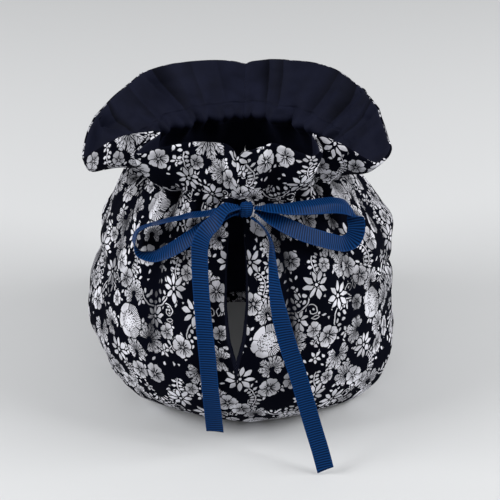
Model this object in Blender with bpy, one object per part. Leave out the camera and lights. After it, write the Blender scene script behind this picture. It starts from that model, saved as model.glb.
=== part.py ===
"""Drawstring tea cosy: two printed halves with a navy lining, drawn in by a ribbon tied in a bow.

Metres, +Z up. The origin is on the floor under the middle of the cosy, and the front, with its
slit and bow, faces -Y. Sizes and tables are in millimetres and degrees, round the axis of the
cosy's neck, and add_object turns them into metres round the origin. Azimuth is the angle round
the neck: 0 at the front, positive towards +X, 180 at the back.
"""
import math

import bmesh
import bpy
import numpy as np
from mathutils import Vector

MM = 0.001
NECK_X = -1.5                # the neck's axis, beside the middle of the whole cosy

# Driving sizes
OUTER_THICKNESS = 1.5        # printed cloth with its backing
LINING_THICKNESS = 1.0
CLOTH_GAP = 0.4              # between the printed cloth and its lining
HEM_ROWS_WITHOUT_LINING = 1  # the lining ends this many rows above the hem
SEAM_GAP = 0.3               # between the two halves where they are joined
FRONT_SEAM = -1.0            # azimuth of the front seam and slit
BACK_SEAM = 178.0            # azimuth of the back seam and slit

SLIT_BOTTOM = 48.0           # height at which the halves part
SLIT_WIDTH = 14.4            # widest gap between the halves
SLIT_CLOSE = 0.25            # share of the ruffle over which the slit closes again

GATHERS = 18                 # small gathers round the tie
GATHER_PHASE = 34.0          # turns them so that none falls on a seam
GATHER_DEPTH = 1.3
GATHER_REACH = 0.10          # share of the body that a small gather runs down
RUFFLE_BELLY = 2.0           # how far the ruffle swells between the tie and its rim
FLARE_POWER = 1.15           # over 1: the ruffle starts upright and flares towards its rim

RIBBON_WIDTH = 10.5
RIBBON_THICKNESS = 1.0
RIBBON_PINCH = 0.52          # share of the width that is left inside the knot
PINCH_REACH = 9.0            # distance over which a pinched ribbon opens out
LEAD_WIDTH = 3.5             # the ribbon where it leaves the cloth, squeezed together
TAIL_CUT = 2.0               # how far a tail's end slants across its width

KNOT_CENTRE = (4.35, -77.0, 156.4)
KNOT_HALF = (4.1, 4.7, 4.9)
KNOT_SQUARENESS = 0.8        # 1 is an ellipsoid, less is squarer
KNOT_SEGMENTS = 14
KNOT_RINGS = 9

SHARP_ANGLE = 50.0           # edges that turn more than this stay crisp

# The body's section, from the hem up to the tie.
# Columns: height, radius at the left, radius at the front and back, radius at the right
BODY = (
    (0.0, 74.0, 70.0, 81.5),
    (6.5, 82.0, 79.0, 88.5),
    (16.0, 89.5, 88.0, 97.0),
    (29.0, 93.0, 96.5, 102.5),
    (46.0, 99.5, 101.0, 100.0),
    (64.0, 98.5, 100.5, 98.5),
    (84.0, 94.0, 96.5, 98.0),
    (105.0, 88.5, 90.0, 97.0),
    (123.0, 83.0, 84.0, 88.5),
    (137.0, 78.0, 79.0, 79.5),
    (146.0, 73.5, 74.5, 74.5),
    (153.0, 69.0, 69.0, 69.0),
)
TIE_HEIGHT = BODY[-1][0]

# Where the body stands out, or is drawn in.
# Columns: azimuth, height, how far out, half width in degrees, half height
BULGES = (
    (62.0, 3.0, 8.5, 17.0, 18.0),
    (-55.0, 20.0, 1.5, 15.0, 12.0),
    (-22.0, 0.0, -4.0, 20.0, 12.0),
    (-88.0, 107.0, 2.5, 30.0, 8.0),
    (-88.0, 90.0, -3.5, 30.0, 10.0),
    (86.0, 111.0, 3.0, 32.0, 7.0),
    (88.0, 84.0, -7.0, 30.0, 5.5),
)

# Where the ruffle bows out and down under a drooping ear. Columns: azimuth, half width, how far
DROOPS = (
    (-68.0, 24.0, 5.5),
    (62.0, 20.0, 1.5),
)
DROOP_LEAN = 1.6              # above 1, the bow lies nearer the rim

# Rows of the ruffle, as shares of the way from the tie to the rim
RUFFLE_ROWS = (0.15, 0.4, 0.7, 1.0)

# The rim of each half, from the front seam round to the back seam.
# Columns: azimuth, radius, height
RIM_LEFT = (
    (-1.0, 73.0, 187.5),
    (-3.0, 70.5, 192.0),
    (-7.0, 65.0, 192.3),
    (-15.0, 67.0, 193.5),
    (-23.5, 68.5, 192.5),
    (-29.0, 75.5, 192.0),
    (-35.5, 84.0, 190.0),
    (-39.0, 89.5, 188.0),     # crest of the front pleat
    (-40.6, 90.0, 187.5),
    (-42.2, 84.0, 189.0),     # the wall that shows its lining
    (-43.6, 68.0, 191.5),
    (-45.5, 65.5, 191.5),     # valley behind it
    (-49.0, 75.0, 192.0),
    (-53.0, 82.5, 190.5),
    (-57.0, 87.5, 186.5),
    (-61.5, 91.0, 181.0),
    (-66.0, 95.5, 174.5),
    (-70.5, 100.0, 168.5),    # drooping ear
    (-75.0, 97.0, 175.0),
    (-81.0, 92.0, 181.5),
    (-92.0, 88.0, 181.5),
    (-104.0, 86.0, 182.0),
    (-117.0, 87.5, 181.5),
    (-128.0, 92.0, 180.5),
    (-138.0, 95.0, 182.0),
    (-147.0, 91.0, 185.0),    # crease
    (-156.0, 94.0, 183.3),
    (-168.0, 95.5, 181.7),
    (-177.0, 93.5, 181.0),
    (-182.0, 91.0, 180.2),
)
RIM_RIGHT = (
    (-1.0, 73.0, 187.5),
    (2.0, 74.0, 191.5),
    (5.0, 74.0, 192.5),
    (10.0, 70.5, 192.3),
    (16.5, 67.5, 192.6),
    (21.5, 72.0, 191.3),
    (26.0, 80.0, 189.8),
    (30.5, 83.5, 187.6),
    (34.0, 83.0, 188.6),      # crest of the front pleat
    (36.0, 79.0, 190.5),      # the wall that shows its lining
    (39.5, 68.0, 192.5),
    (41.5, 66.5, 192.5),      # valley behind it
    (43.5, 77.0, 191.0),
    (46.5, 85.5, 187.6),
    (51.0, 93.5, 180.5),
    (56.0, 98.0, 175.3),
    (62.0, 99.0, 175.5),      # drooping ear
    (68.0, 98.0, 176.3),
    (73.0, 94.0, 178.5),
    (80.0, 89.5, 182.5),
    (90.0, 86.5, 183.5),
    (101.0, 85.5, 184.5),
    (112.0, 88.5, 182.0),
    (121.0, 93.0, 179.5),
    (130.0, 93.5, 182.3),     # crease
    (139.0, 96.0, 183.8),
    (150.0, 93.0, 185.6),
    (159.0, 90.5, 185.2),     # crease
    (168.0, 94.0, 182.6),
    (174.5, 94.0, 181.0),
    (178.0, 91.0, 180.2),
)

# Broad folds that run down from the tie and fade out on the belly.
# Columns: azimuth at the tie, azimuth at the belly, depth, half width in degrees
FOLDS = (
    (-168.0, -166.0, 2.6, 8.0),
    (-146.0, -143.0, 3.2, 10.0),
    (-116.0, -113.0, 3.0, 11.0),
    (-88.0, -84.0, 2.6, 10.0),
    (-58.0, -56.0, 3.0, 9.0),
    (-31.0, -29.0, 4.0, 9.0),
    (14.0, 20.0, 4.0, 8.0),
    (44.0, 45.0, 3.0, 9.0),
    (72.0, 70.0, 2.6, 10.0),
    (101.0, 98.0, 3.0, 11.0),
    (131.0, 128.0, 3.2, 10.0),
    (158.0, 156.0, 2.8, 9.0),
)
FOLD_START = 0.42            # share of the body where the folds begin
FOLD_FULL = 0.87             # and where they are at their full depth

# The slits' widths, as shares of SLIT_WIDTH, by share of the height from SLIT_BOTTOM to the tie.
# The back slit is the shorter one, sewn shut above and below.
SLIT_SHAPE_AT = (0.0, 0.12, 0.3, 0.5, 0.7, 0.9, 1.0)
SLIT_SHAPE = (0.0, 0.2, 0.8, 1.0, 0.9, 0.62, 0.5)
BACK_SLIT_SHAPE = (0.0, 0.0, 0.1, 1.0, 0.0, 0.0, 0.0)

# Routes of the ribbon: its middle, and the way across it from its back edge to its front edge.
# Columns: x, y, z of the middle, then x, y, z of the way across
LOOP_LEFT = (
    (-0.1, -77.5, 157.6, 0.0, -1.0, 0.1),
    (-8.4, -78.3, 156.8, 0.0, -1.0, 0.15),
    (-19.0, -77.0, 153.5, 0.05, -1.0, 0.2),
    (-28.0, -75.0, 151.3, 0.05, -1.0, 0.2),
    (-37.1, -72.4, 147.6, 0.05, -1.0, 0.3),
    (-46.1, -68.8, 143.4, 0.05, -1.0, 0.3),
    (-54.1, -66.8, 139.8, 0.15, -1.0, 0.42),
    (-60.2, -65.4, 134.6, 0.25, -1.0, 0.42),
    (-62.3, -66.4, 128.6, 0.25, -1.0, 0.2),
    (-59.6, -69.4, 124.0, 0.1, -1.0, 0.1),
    (-52.3, -72.8, 123.2, 0.05, -1.0, -0.05),
    (-43.4, -76.6, 127.8, 0.15, -0.95, -0.3),
    (-33.8, -78.8, 134.7, 0.3, -0.9, -0.4),
    (-24.9, -78.5, 141.6, 0.4, -0.9, -0.3),
    (-17.3, -77.7, 147.2, 0.4, -0.9, -0.2),
    (-9.1, -77.7, 152.3, 0.2, -1.0, 0.05),
    (-0.2, -77.0, 154.7, 0.0, -1.0, 0.3),
)
LOOP_RIGHT = (
    (8.9, -77.5, 157.9, 0.0, -1.0, 0.3),
    (15.7, -78.0, 157.9, 0.05, -1.0, 0.05),
    (24.3, -77.0, 157.4, 0.05, -1.0, -0.1),
    (35.4, -74.0, 156.3, 0.05, -0.95, -0.3),
    (47.3, -68.2, 154.3, 0.05, -0.9, -0.45),
    (57.8, -60.9, 151.0, 0.05, -0.85, -0.55),
    (65.6, -55.6, 145.8, 0.3, -0.7, -0.6),
    (69.6, -55.2, 138.4, 0.7, -0.25, -0.6),
    (70.0, -58.6, 131.2, 0.9, -0.2, -0.3),
    (67.2, -62.4, 127.4, 0.6, -0.6, -0.5),
    (62.4, -65.2, 127.0, 0.2, -0.8, -0.55),
    (56.2, -68.4, 129.8, 0.0, -0.8, -0.55),
    (48.7, -72.4, 134.2, -0.1, -0.8, -0.55),
    (38.6, -75.6, 139.4, -0.2, -0.8, -0.55),
    (29.5, -77.2, 144.6, -0.3, -0.8, -0.5),
    (21.3, -78.2, 149.6, -0.3, -0.9, -0.3),
    (14.0, -78.2, 153.4, -0.2, -1.0, 0.0),
    (9.1, -77.0, 155.1, 0.0, -1.0, 0.3),
)
TAIL_LEFT = (
    (0.2, -81.8, 160.3, 0.1, -1.0, 0.1),
    (-6.6, -84.7, 161.4, 0.1, -1.0, -0.15),
    (-13.4, -88.5, 154.3, 0.4, -0.8, -0.4),
    (-19.0, -89.2, 148.2, 0.7, -0.65, -0.25),
    (-22.0, -90.0, 140.0, 0.9, -0.4, 0.1),
    (-22.4, -91.0, 130.9, 0.9, -0.35, 0.2),
    (-22.1, -94.0, 119.2, 0.9, -0.35, 0.2),
    (-21.4, -97.2, 107.3, 0.9, -0.35, 0.2),
    (-20.3, -100.6, 92.2, 0.95, -0.3, 0.2),
    (-18.5, -104.4, 70.2, 0.95, -0.2, 0.2),
    (-17.2, -106.0, 49.4, 0.95, -0.2, 0.15),
    (-16.0, -105.3, 32.1, 1.0, -0.1, 0.15),
    (-15.0, -103.7, 16.3, 1.0, 0.0, 0.1),
)
TAIL_RIGHT = (
    (7.6, -80.2, 152.9, 0.1, -0.95, 0.3),
    (11.6, -82.6, 150.6, 0.1, -0.9, 0.4),
    (16.2, -86.0, 146.6, 0.1, -0.9, 0.45),
    (18.8, -89.5, 141.2, 0.15, -0.85, 0.45),
    (19.5, -93.2, 133.4, 0.35, -0.8, 0.45),
    (20.2, -97.0, 124.4, 0.5, -0.75, 0.45),
    (21.6, -100.9, 113.4, 0.7, -0.6, 0.35),
    (24.2, -104.4, 100.5, 0.9, -0.35, 0.3),
    (28.7, -108.0, 83.3, 1.0, 0.0, 0.2),
    (34.2, -111.2, 66.2, 0.95, 0.1, 0.25),
    (39.7, -114.6, 46.9, 0.95, 0.1, 0.25),
    (44.8, -118.0, 29.0, 0.95, 0.1, 0.25),
    (49.2, -121.3, 14.2, 0.95, 0.1, 0.2),
    (52.2, -124.3, 3.2, 0.95, 0.0, 0.3),
)
LEAD_LEFT = (
    (-4.0, -69.8, 151.0, 0.0, 0.0, 1.0),
    (-3.0, -71.2, 151.2, 0.0, 0.0, 1.0),
    (-1.6, -72.4, 151.6, 0.0, 0.0, 1.0),
    (-0.2, -73.3, 152.0, 0.0, 0.0, 1.0),
)
LEAD_RIGHT = (
    (1.4, -69.8, 151.0, 0.0, 0.0, 1.0),
    (1.2, -71.2, 151.2, 0.0, 0.0, 1.0),
    (1.4, -72.3, 151.6, 0.0, 0.0, 1.0),
    (1.9, -73.3, 152.0, 0.0, 0.0, 1.0),
)
ROUTE_STEP = 7.0             # spacing of a ribbon's sections

# Finishes: linear colours, the print's as it averages out
PRINT_COLOUR = (0.16, 0.16, 0.21)
LINING_COLOUR = (0.010, 0.013, 0.030)
RIBBON_COLOUR = (0.010, 0.058, 0.205)
PRINT_ROUGHNESS = 0.85
LINING_ROUGHNESS = 0.8
RIBBON_ROUGHNESS = 0.55


def clear_scene():
    for thing in list(bpy.data.objects):
        bpy.data.objects.remove(thing, do_unlink=True)


def material(name, colour, roughness):
    made = bpy.data.materials.new(name)
    made.use_nodes = True
    shader = made.node_tree.nodes["Principled BSDF"]
    shader.inputs["Base Color"].default_value = (*colour, 1.0)
    shader.inputs["Roughness"].default_value = roughness
    shader.inputs["Metallic"].default_value = 0.0
    return made


def along(points):
    """Distance of each point along the line through all of them."""
    steps = np.linalg.norm(np.diff(np.asarray(points, float), axis=0), axis=1)
    return np.concatenate([[0.0], np.cumsum(steps)])


def hermite(at, values, slopes, x):
    """The cubic through rows (at, values) with the given slopes, read at x."""
    x = np.clip(x, at[0], at[-1])
    row = np.clip(np.searchsorted(at, x, side="right") - 1, 0, len(at) - 2)
    width = at[row + 1] - at[row]
    s = (x - at[row]) / width
    return ((1 + 2 * s) * (1 - s) ** 2 * values[row] + s * (1 - s) ** 2 * width * slopes[row]
            + s * s * (3 - 2 * s) * values[row + 1] + s * s * (s - 1) * width * slopes[row + 1])


def smooth_curve(at, values, x):
    """A smooth curve through the rows."""
    values = np.asarray(values, float)
    return hermite(at, values, np.gradient(values, at), x)


def crisp_curve(at, values, x):
    """A curve through the rows that never swings past one, so creases stay crisp."""
    values = np.asarray(values, float)
    step = np.diff(at)
    rise = np.diff(values) / step
    before = 2 * step[1:] + step[:-1]
    after = step[1:] + 2 * step[:-1]
    turns = rise[:-1] * rise[1:] <= 0
    safe = np.where(rise == 0, 1.0, rise)
    slopes = np.empty_like(values)
    slopes[0], slopes[-1] = rise[0], rise[-1]
    slopes[1:-1] = np.where(turns, 0.0, (before + after) / (before / safe[:-1] + after / safe[1:]))
    return hermite(at, values, slopes, x)


def ease(x):
    x = np.clip(x, 0.0, 1.0)
    return x * x * (3 - 2 * x)


def polar(radius, azimuth, height):
    return np.stack([radius * np.sin(azimuth), -radius * np.cos(azimuth), height], -1)


class Half:
    """One half of the cosy, as a surface over (p, v).

    p runs from the front seam, 0, to the back seam, 1. v runs up the cloth: 0 at the hem, 1 at
    the tie and 2 at the rim.
    """

    def __init__(self, rim):
        self.azimuth, self.radius, self.height = np.array(rim).T
        self.azimuth = np.radians(self.azimuth)
        length = along(polar(self.radius, self.azimuth, self.height))
        self.columns = length / length[-1]
        self.turn = 1.0 if self.azimuth[-1] > 0 else -1.0
        heights, lefts, fronts, rights = np.array(BODY).T
        self.section = (heights, lefts, fronts, rights)
        self.body_rows = along(np.stack([fronts, heights], -1))
        self.body_rows /= self.body_rows[-1]
        self.rows = np.concatenate([self.body_rows, 1.0 + np.array(RUFFLE_ROWS)])

    def body(self, azimuth, v):
        """Radius and height of the plain body."""
        height, left, front, right = (smooth_curve(self.body_rows, c, v) for c in self.section)
        side = np.where(np.sin(azimuth) < 0, left, right)
        return front + (side - front) * np.sin(azimuth) ** 2, height

    def bulges(self, azimuth, height):
        """How far the body stands out beyond its plain section."""
        rise = np.zeros_like(azimuth)
        for centre, middle, out, half_width, half_height in BULGES:
            aside = (azimuth - math.radians(centre)) / math.radians(half_width)
            rise += out * np.exp(-aside ** 2 - ((height - middle) / half_height) ** 2)
        return rise

    def droop(self, azimuth):
        """How far the middle of the ruffle bows out and down."""
        bow = np.zeros_like(azimuth)
        for centre, half_width, far in DROOPS:
            aside = (azimuth - math.radians(centre)) / math.radians(half_width)
            bow += far * np.exp(-aside ** 2)
        return bow

    def folds(self, azimuth, v):
        """How far the broad folds draw the body in."""
        depth = np.zeros_like(azimuth)
        for at_tie, at_belly, fold_depth, half_width in FOLDS:
            centre = np.radians(at_belly + (at_tie - at_belly) * v)
            depth += fold_depth * np.exp(-((azimuth - centre) / math.radians(half_width)) ** 2)
        return depth * ease((v - FOLD_START) / (FOLD_FULL - FOLD_START))

    def gathers(self, azimuth, v):
        """The small gathers, deepest at the tie."""
        wave = 0.5 - 0.5 * np.cos(GATHERS * azimuth + math.radians(GATHER_PHASE))
        return GATHER_DEPTH * wave * np.exp(-((1 - v) / GATHER_REACH) ** 2)

    def gap(self, height, s, shape):
        """Half the gap between the halves: a slit from the belly to the tie or just above it."""
        share = (height - SLIT_BOTTOM) / (TIE_HEIGHT - SLIT_BOTTOM)
        slit = 0.5 * SLIT_WIDTH * np.interp(share, SLIT_SHAPE_AT, shape)
        return np.maximum(slit * np.clip(1 - s / SLIT_CLOSE, 0, 1), 0.5 * SEAM_GAP)

    def place(self, p, v):
        p, v = np.broadcast_arrays(np.asarray(p, float), np.asarray(v, float))
        body_v, s = np.clip(v, 0, 1), np.clip(v - 1, 0, 1)
        back = math.radians(BACK_SEAM) - (0 if self.turn > 0 else 2 * math.pi)
        front = math.radians(FRONT_SEAM)
        azimuth = front + (back - front) * p
        radius, height = self.body(azimuth, body_v)
        radius = radius - self.folds(azimuth, body_v) - self.gathers(azimuth, body_v) * (1 - s) ** 2
        radius = radius + self.bulges(azimuth, height) * (1 - s)
        rim_azimuth = self.turn * crisp_curve(self.columns, self.turn * self.azimuth, p)
        rim_radius = crisp_curve(self.columns, self.radius, p)
        rim_height = crisp_curve(self.columns, self.height, p)
        azimuth = azimuth + (rim_azimuth - azimuth) * ease(s)
        radius = (radius + (rim_radius - radius) * s ** FLARE_POWER
                  + RUFFLE_BELLY * np.sin(math.pi * s))
        height = height + (rim_height - height) * s
        droop = self.droop(rim_azimuth) * np.sin(math.pi * s ** DROOP_LEAN) ** 2
        radius, height = radius + droop, height - droop
        front_gap = self.gap(height, s, SLIT_SHAPE) * (1 - p)
        back_gap = self.gap(height, s, BACK_SLIT_SHAPE) * p
        azimuth = azimuth + self.turn * np.arcsin((front_gap - back_gap) / radius)
        return polar(radius, azimuth, height)

    def outward(self, p, v, step=1e-3):
        """Unit normals. They are level at the hem, so that its underside is flat, and lie in the
        seams' planes at the two edges, so that the halves stay apart."""
        p, v = np.broadcast_arrays(np.asarray(p, float), np.asarray(v, float))
        across = self.place(np.clip(p + step, 0, 1), v) - self.place(np.clip(p - step, 0, 1), v)
        up = (self.place(p, np.clip(v + 4 * step, 0, 2))
              - self.place(p, np.clip(v - 4 * step, 0, 2)))
        normal = np.cross(across, up) * self.turn
        normal[..., 2] *= np.where(v > 0, 1.0, 0.0)
        here = self.place(p, v)
        azimuth = np.arctan2(here[..., 0], -here[..., 1])
        round_way = polar(np.ones_like(azimuth), azimuth + 0.5 * math.pi, np.zeros_like(azimuth))
        at_edge = np.where((p <= 0) | (p >= 1), 1.0, 0.0)
        sideways = np.sum(normal * round_way, axis=-1) * at_edge
        normal -= sideways[..., None] * round_way
        return normal / np.linalg.norm(normal, axis=-1, keepdims=True)


def add_object(name, bm, made):
    """The bmesh, in millimetres round the neck until now, as an object in metres."""
    bmesh.ops.translate(bm, vec=(NECK_X, 0, 0), verts=bm.verts)
    bmesh.ops.scale(bm, vec=(MM, MM, MM), verts=bm.verts)
    mesh = bpy.data.meshes.new(name)
    bm.to_mesh(mesh)
    bm.free()
    mesh.materials.append(made)
    mesh.shade_smooth()
    mesh.set_sharp_from_angle(angle=math.radians(SHARP_ANGLE))
    thing = bpy.data.objects.new(name, mesh)
    bpy.context.scene.collection.objects.link(thing)
    return thing


def cloth(name, half, rows, inner, outer, made):
    """A sheet that follows one half, between two distances from its middle surface."""
    columns = half.columns
    bm = bmesh.new()
    bmesh.ops.create_grid(bm, x_segments=len(columns) - 1, y_segments=len(rows) - 1, size=1)
    cell = bm.verts.layers.int.new("cell")
    grid = sorted(bm.verts, key=lambda vert: (round(vert.co.y, 4), round(vert.co.x, 4)))
    p, v = (part.ravel() for part in np.meshgrid(columns, rows))
    middle, normal = half.place(p, v), half.outward(p, v)
    for number, vert in enumerate(grid):
        vert[cell] = number
        vert.co = middle[number] + inner * normal[number]
    skin = bmesh.ops.extrude_face_region(bm, geom=bm.faces[:] + bm.edges[:], use_keep_orig=True)
    for vert in (item for item in skin["geom"] if isinstance(item, bmesh.types.BMVert)):
        vert.co = middle[vert[cell]] + outer * normal[vert[cell]]
    bmesh.ops.recalc_face_normals(bm, faces=bm.faces)
    return add_object(name, bm, made)


def ribbon(name, route, made, width=RIBBON_WIDTH, pinched_ends=(True, True), cut_lean=0.0):
    """A flat ribbon swept along a route. cut_lean slants its last end."""
    route = np.array(route)
    distance = along(route[:, :3])
    count = max(3, int(round(distance[-1] / ROUTE_STEP)) + 1)
    at = np.linspace(0, distance[-1], count)
    middle = np.stack([smooth_curve(distance, route[:, k], at) for k in range(3)], -1)
    across = np.stack([smooth_curve(distance, route[:, k], at) for k in range(3, 6)], -1)
    tangent = np.gradient(middle, at, axis=0)
    tangent /= np.linalg.norm(tangent, axis=1, keepdims=True)
    across -= tangent * np.sum(across * tangent, axis=1, keepdims=True)
    across /= np.linalg.norm(across, axis=1, keepdims=True)
    face = np.cross(tangent, across)
    from_knot = np.full(count, PINCH_REACH)
    if pinched_ends[0]:
        from_knot = np.minimum(from_knot, at)
    if pinched_ends[1]:
        from_knot = np.minimum(from_knot, distance[-1] - at)
    opened = RIBBON_PINCH + (1 - RIBBON_PINCH) * ease(from_knot / PINCH_REACH)
    half_width = 0.5 * width * opened
    half_thick = 0.5 * RIBBON_THICKNESS
    bm = bmesh.new()
    ring = None
    for k in range(count):
        lean = cut_lean * tangent[k] if k == count - 1 else np.zeros(3)
        corners = [middle[k] + a * (half_width[k] * across[k] + 0.5 * lean) + b * half_thick * face[k]
                   for a, b in ((-1, -1), (1, -1), (1, 1), (-1, 1))]
        fresh = [bm.verts.new(Vector(corner)) for corner in corners]
        if ring is None:
            bm.faces.new(fresh[::-1])
        else:
            for j in range(4):
                bm.faces.new((ring[j], ring[(j + 1) % 4], fresh[(j + 1) % 4], fresh[j]))
        ring = fresh
    bm.faces.new(ring)
    bmesh.ops.recalc_face_normals(bm, faces=bm.faces)
    return add_object(name, bm, made)


def ribbon_cloth(node):
    return material(f"ribbon_of_{node}", RIBBON_COLOUR, RIBBON_ROUGHNESS)


def knot(name, made):
    """The wrapped middle of the bow: a rounded block."""
    bm = bmesh.new()
    bmesh.ops.create_uvsphere(bm, u_segments=KNOT_SEGMENTS, v_segments=KNOT_RINGS, radius=1.0)
    for vert in bm.verts:
        for k in range(3):
            side = math.copysign(1.0, vert.co[k])
            vert.co[k] = KNOT_CENTRE[k] + KNOT_HALF[k] * side * abs(vert.co[k]) ** KNOT_SQUARENESS
    bmesh.ops.recalc_face_normals(bm, faces=bm.faces)
    return add_object(name, bm, made)


def build():
    clear_scene()
    inner_edge = 0.5 * CLOTH_GAP
    for side, rim in (("left", RIM_LEFT), ("right", RIM_RIGHT)):
        half = Half(rim)
        cloth(f"panel_{side}", half, half.rows, inner_edge, inner_edge + OUTER_THICKNESS,
              material(f"printed_cotton_{side}", PRINT_COLOUR, PRINT_ROUGHNESS))
        cloth(f"lining_{side}", half, half.rows[HEM_ROWS_WITHOUT_LINING:],
              -inner_edge - LINING_THICKNESS, -inner_edge,
              material(f"navy_lining_{side}", LINING_COLOUR, LINING_ROUGHNESS))
    for name, route in (("tie_lead_left", LEAD_LEFT), ("tie_lead_right", LEAD_RIGHT)):
        ribbon(name, route, ribbon_cloth(name), LEAD_WIDTH, pinched_ends=(False, False))
    knot("tie_knot", ribbon_cloth("tie_knot"))
    for name, route in (("tie_loop_left", LOOP_LEFT), ("tie_loop_right", LOOP_RIGHT)):
        ribbon(name, route, ribbon_cloth(name))
    for name, route, cut in (("tie_tail_left", TAIL_LEFT, TAIL_CUT),
                             ("tie_tail_right", TAIL_RIGHT, -TAIL_CUT)):
        ribbon(name, route, ribbon_cloth(name), pinched_ends=(True, False), cut_lean=cut)


build()
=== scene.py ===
"""Looks of a drawstring tea cosy: printed cotton, navy lining and a grosgrain bow.

Tables and sizes of the cloth are in millimetres and degrees, round the axis of the cosy's neck, as
its maker would measure it, and to_metres turns them into the frame's metres. Azimuth is the angle
round the neck: 0 at the front, positive towards +X, 180 at the back.
"""
import functools
import math

import bmesh
import bpy
import numpy as np
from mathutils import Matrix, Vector


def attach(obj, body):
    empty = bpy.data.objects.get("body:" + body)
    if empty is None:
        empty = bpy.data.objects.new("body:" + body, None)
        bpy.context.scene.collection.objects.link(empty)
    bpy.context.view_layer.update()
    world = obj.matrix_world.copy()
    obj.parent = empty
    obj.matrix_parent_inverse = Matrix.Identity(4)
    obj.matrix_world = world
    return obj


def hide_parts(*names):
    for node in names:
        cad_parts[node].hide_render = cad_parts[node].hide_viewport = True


bl_info = {
    "name": "Drawstring tea cosy",
    "version": (1, 0, 0),
    "blender": (4, 5, 0),
    "location": "3D View > Sidebar > Cosy",
    "description": "Builds a printed tea cosy with its lining, its ribbon bow and a plain stage",
    "category": "Object",
}

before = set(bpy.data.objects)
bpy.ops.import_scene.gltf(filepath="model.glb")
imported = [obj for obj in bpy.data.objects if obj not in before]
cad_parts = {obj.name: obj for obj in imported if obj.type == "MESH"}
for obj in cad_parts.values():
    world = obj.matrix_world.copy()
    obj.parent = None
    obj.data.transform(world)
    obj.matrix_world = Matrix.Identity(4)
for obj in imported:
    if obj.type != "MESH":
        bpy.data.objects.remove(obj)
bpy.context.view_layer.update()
BODY_NAME = "root"
MM = 0.001
NECK_X = -1.5                # the neck's axis, beside the middle of the whole cosy

# ---------------------------------------------------------------- the cloth's shape

FRONT_SEAM = -1.0            # azimuth of the front seam and slit
BACK_SEAM = 178.0
SEAM_GAP = 0.04
SLIT_BOTTOM = 48.0           # height at which the halves part
SLIT_WIDTH = 14.4
SLIT_CLOSE = 0.25            # share of the ruffle over which the slit closes again
OPENING_RUN = 0.8            # gap at which a slit's edges count as fully open
RUFFLE_BELLY = 2.0           # how far the middle of the ruffle stands out
FLARE_POWER = 1.15           # over 1: the ruffle starts upright and flares towards its rim

# The body's section, from the hem up to the tie.
# Columns: height, radius at the left, radius at the front and back, radius at the right
BODY = (
    (0.0, 74.0, 70.0, 81.5),
    (6.5, 82.0, 79.0, 88.5),
    (16.0, 89.5, 88.0, 97.0),
    (29.0, 93.0, 96.5, 102.5),
    (46.0, 99.5, 101.0, 100.0),
    (64.0, 98.5, 100.5, 98.5),
    (84.0, 94.0, 96.5, 98.0),
    (105.0, 88.5, 90.0, 97.0),
    (123.0, 83.0, 84.0, 88.5),
    (137.0, 78.0, 79.0, 79.5),
    (146.0, 73.5, 74.5, 74.5),
    (153.0, 69.0, 69.0, 69.0),
)
TIE_HEIGHT = BODY[-1][0]

# Where the body stands out, or is drawn in.
# Columns: azimuth, height, how far out, half width in degrees, half height
BULGES = (
    (62.0, 3.0, 8.5, 17.0, 18.0),
    (-55.0, 20.0, 1.5, 15.0, 12.0),
    (-22.0, 0.0, -4.0, 20.0, 12.0),
    (-88.0, 107.0, 2.5, 30.0, 8.0),
    (-88.0, 90.0, -3.5, 30.0, 10.0),
    (86.0, 111.0, 3.0, 32.0, 7.0),
    (88.0, 84.0, -7.0, 30.0, 5.5),
)

# Where the ruffle bows out and down under a drooping ear. Columns: azimuth, half width, how far
DROOPS = (
    (-68.0, 24.0, 5.5),
    (62.0, 20.0, 1.5),
)
DROOP_LEAN = 1.6             # over 1: it bows out nearer the rim

# The rim of each half, from the front seam round to the back seam.
# Columns: azimuth, radius, height
RIM_LEFT = (
    (-1.0, 73.0, 187.5),
    (-3.0, 70.5, 192.0),
    (-7.0, 65.0, 192.3),
    (-15.0, 67.0, 193.5),
    (-23.5, 68.5, 192.5),
    (-29.0, 75.5, 192.0),
    (-35.5, 84.0, 190.0),
    (-39.0, 89.5, 188.0),     # crest of the front pleat
    (-40.6, 90.0, 187.5),
    (-42.2, 84.0, 189.0),     # the wall that shows its lining
    (-43.6, 68.0, 191.5),
    (-45.5, 65.5, 191.5),     # valley behind it
    (-49.0, 75.0, 192.0),
    (-53.0, 82.5, 190.5),
    (-57.0, 87.5, 186.5),
    (-61.5, 91.0, 181.0),
    (-66.0, 95.5, 174.5),
    (-70.5, 100.0, 168.5),    # drooping ear
    (-75.0, 97.0, 175.0),
    (-81.0, 92.0, 181.5),
    (-92.0, 88.0, 181.5),
    (-104.0, 86.0, 182.0),
    (-117.0, 87.5, 181.5),
    (-128.0, 92.0, 180.5),
    (-138.0, 95.0, 182.0),
    (-147.0, 91.0, 185.0),    # crease
    (-156.0, 94.0, 183.3),
    (-168.0, 95.5, 181.7),
    (-177.0, 93.5, 181.0),
    (-182.0, 91.0, 180.2),
)
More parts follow.
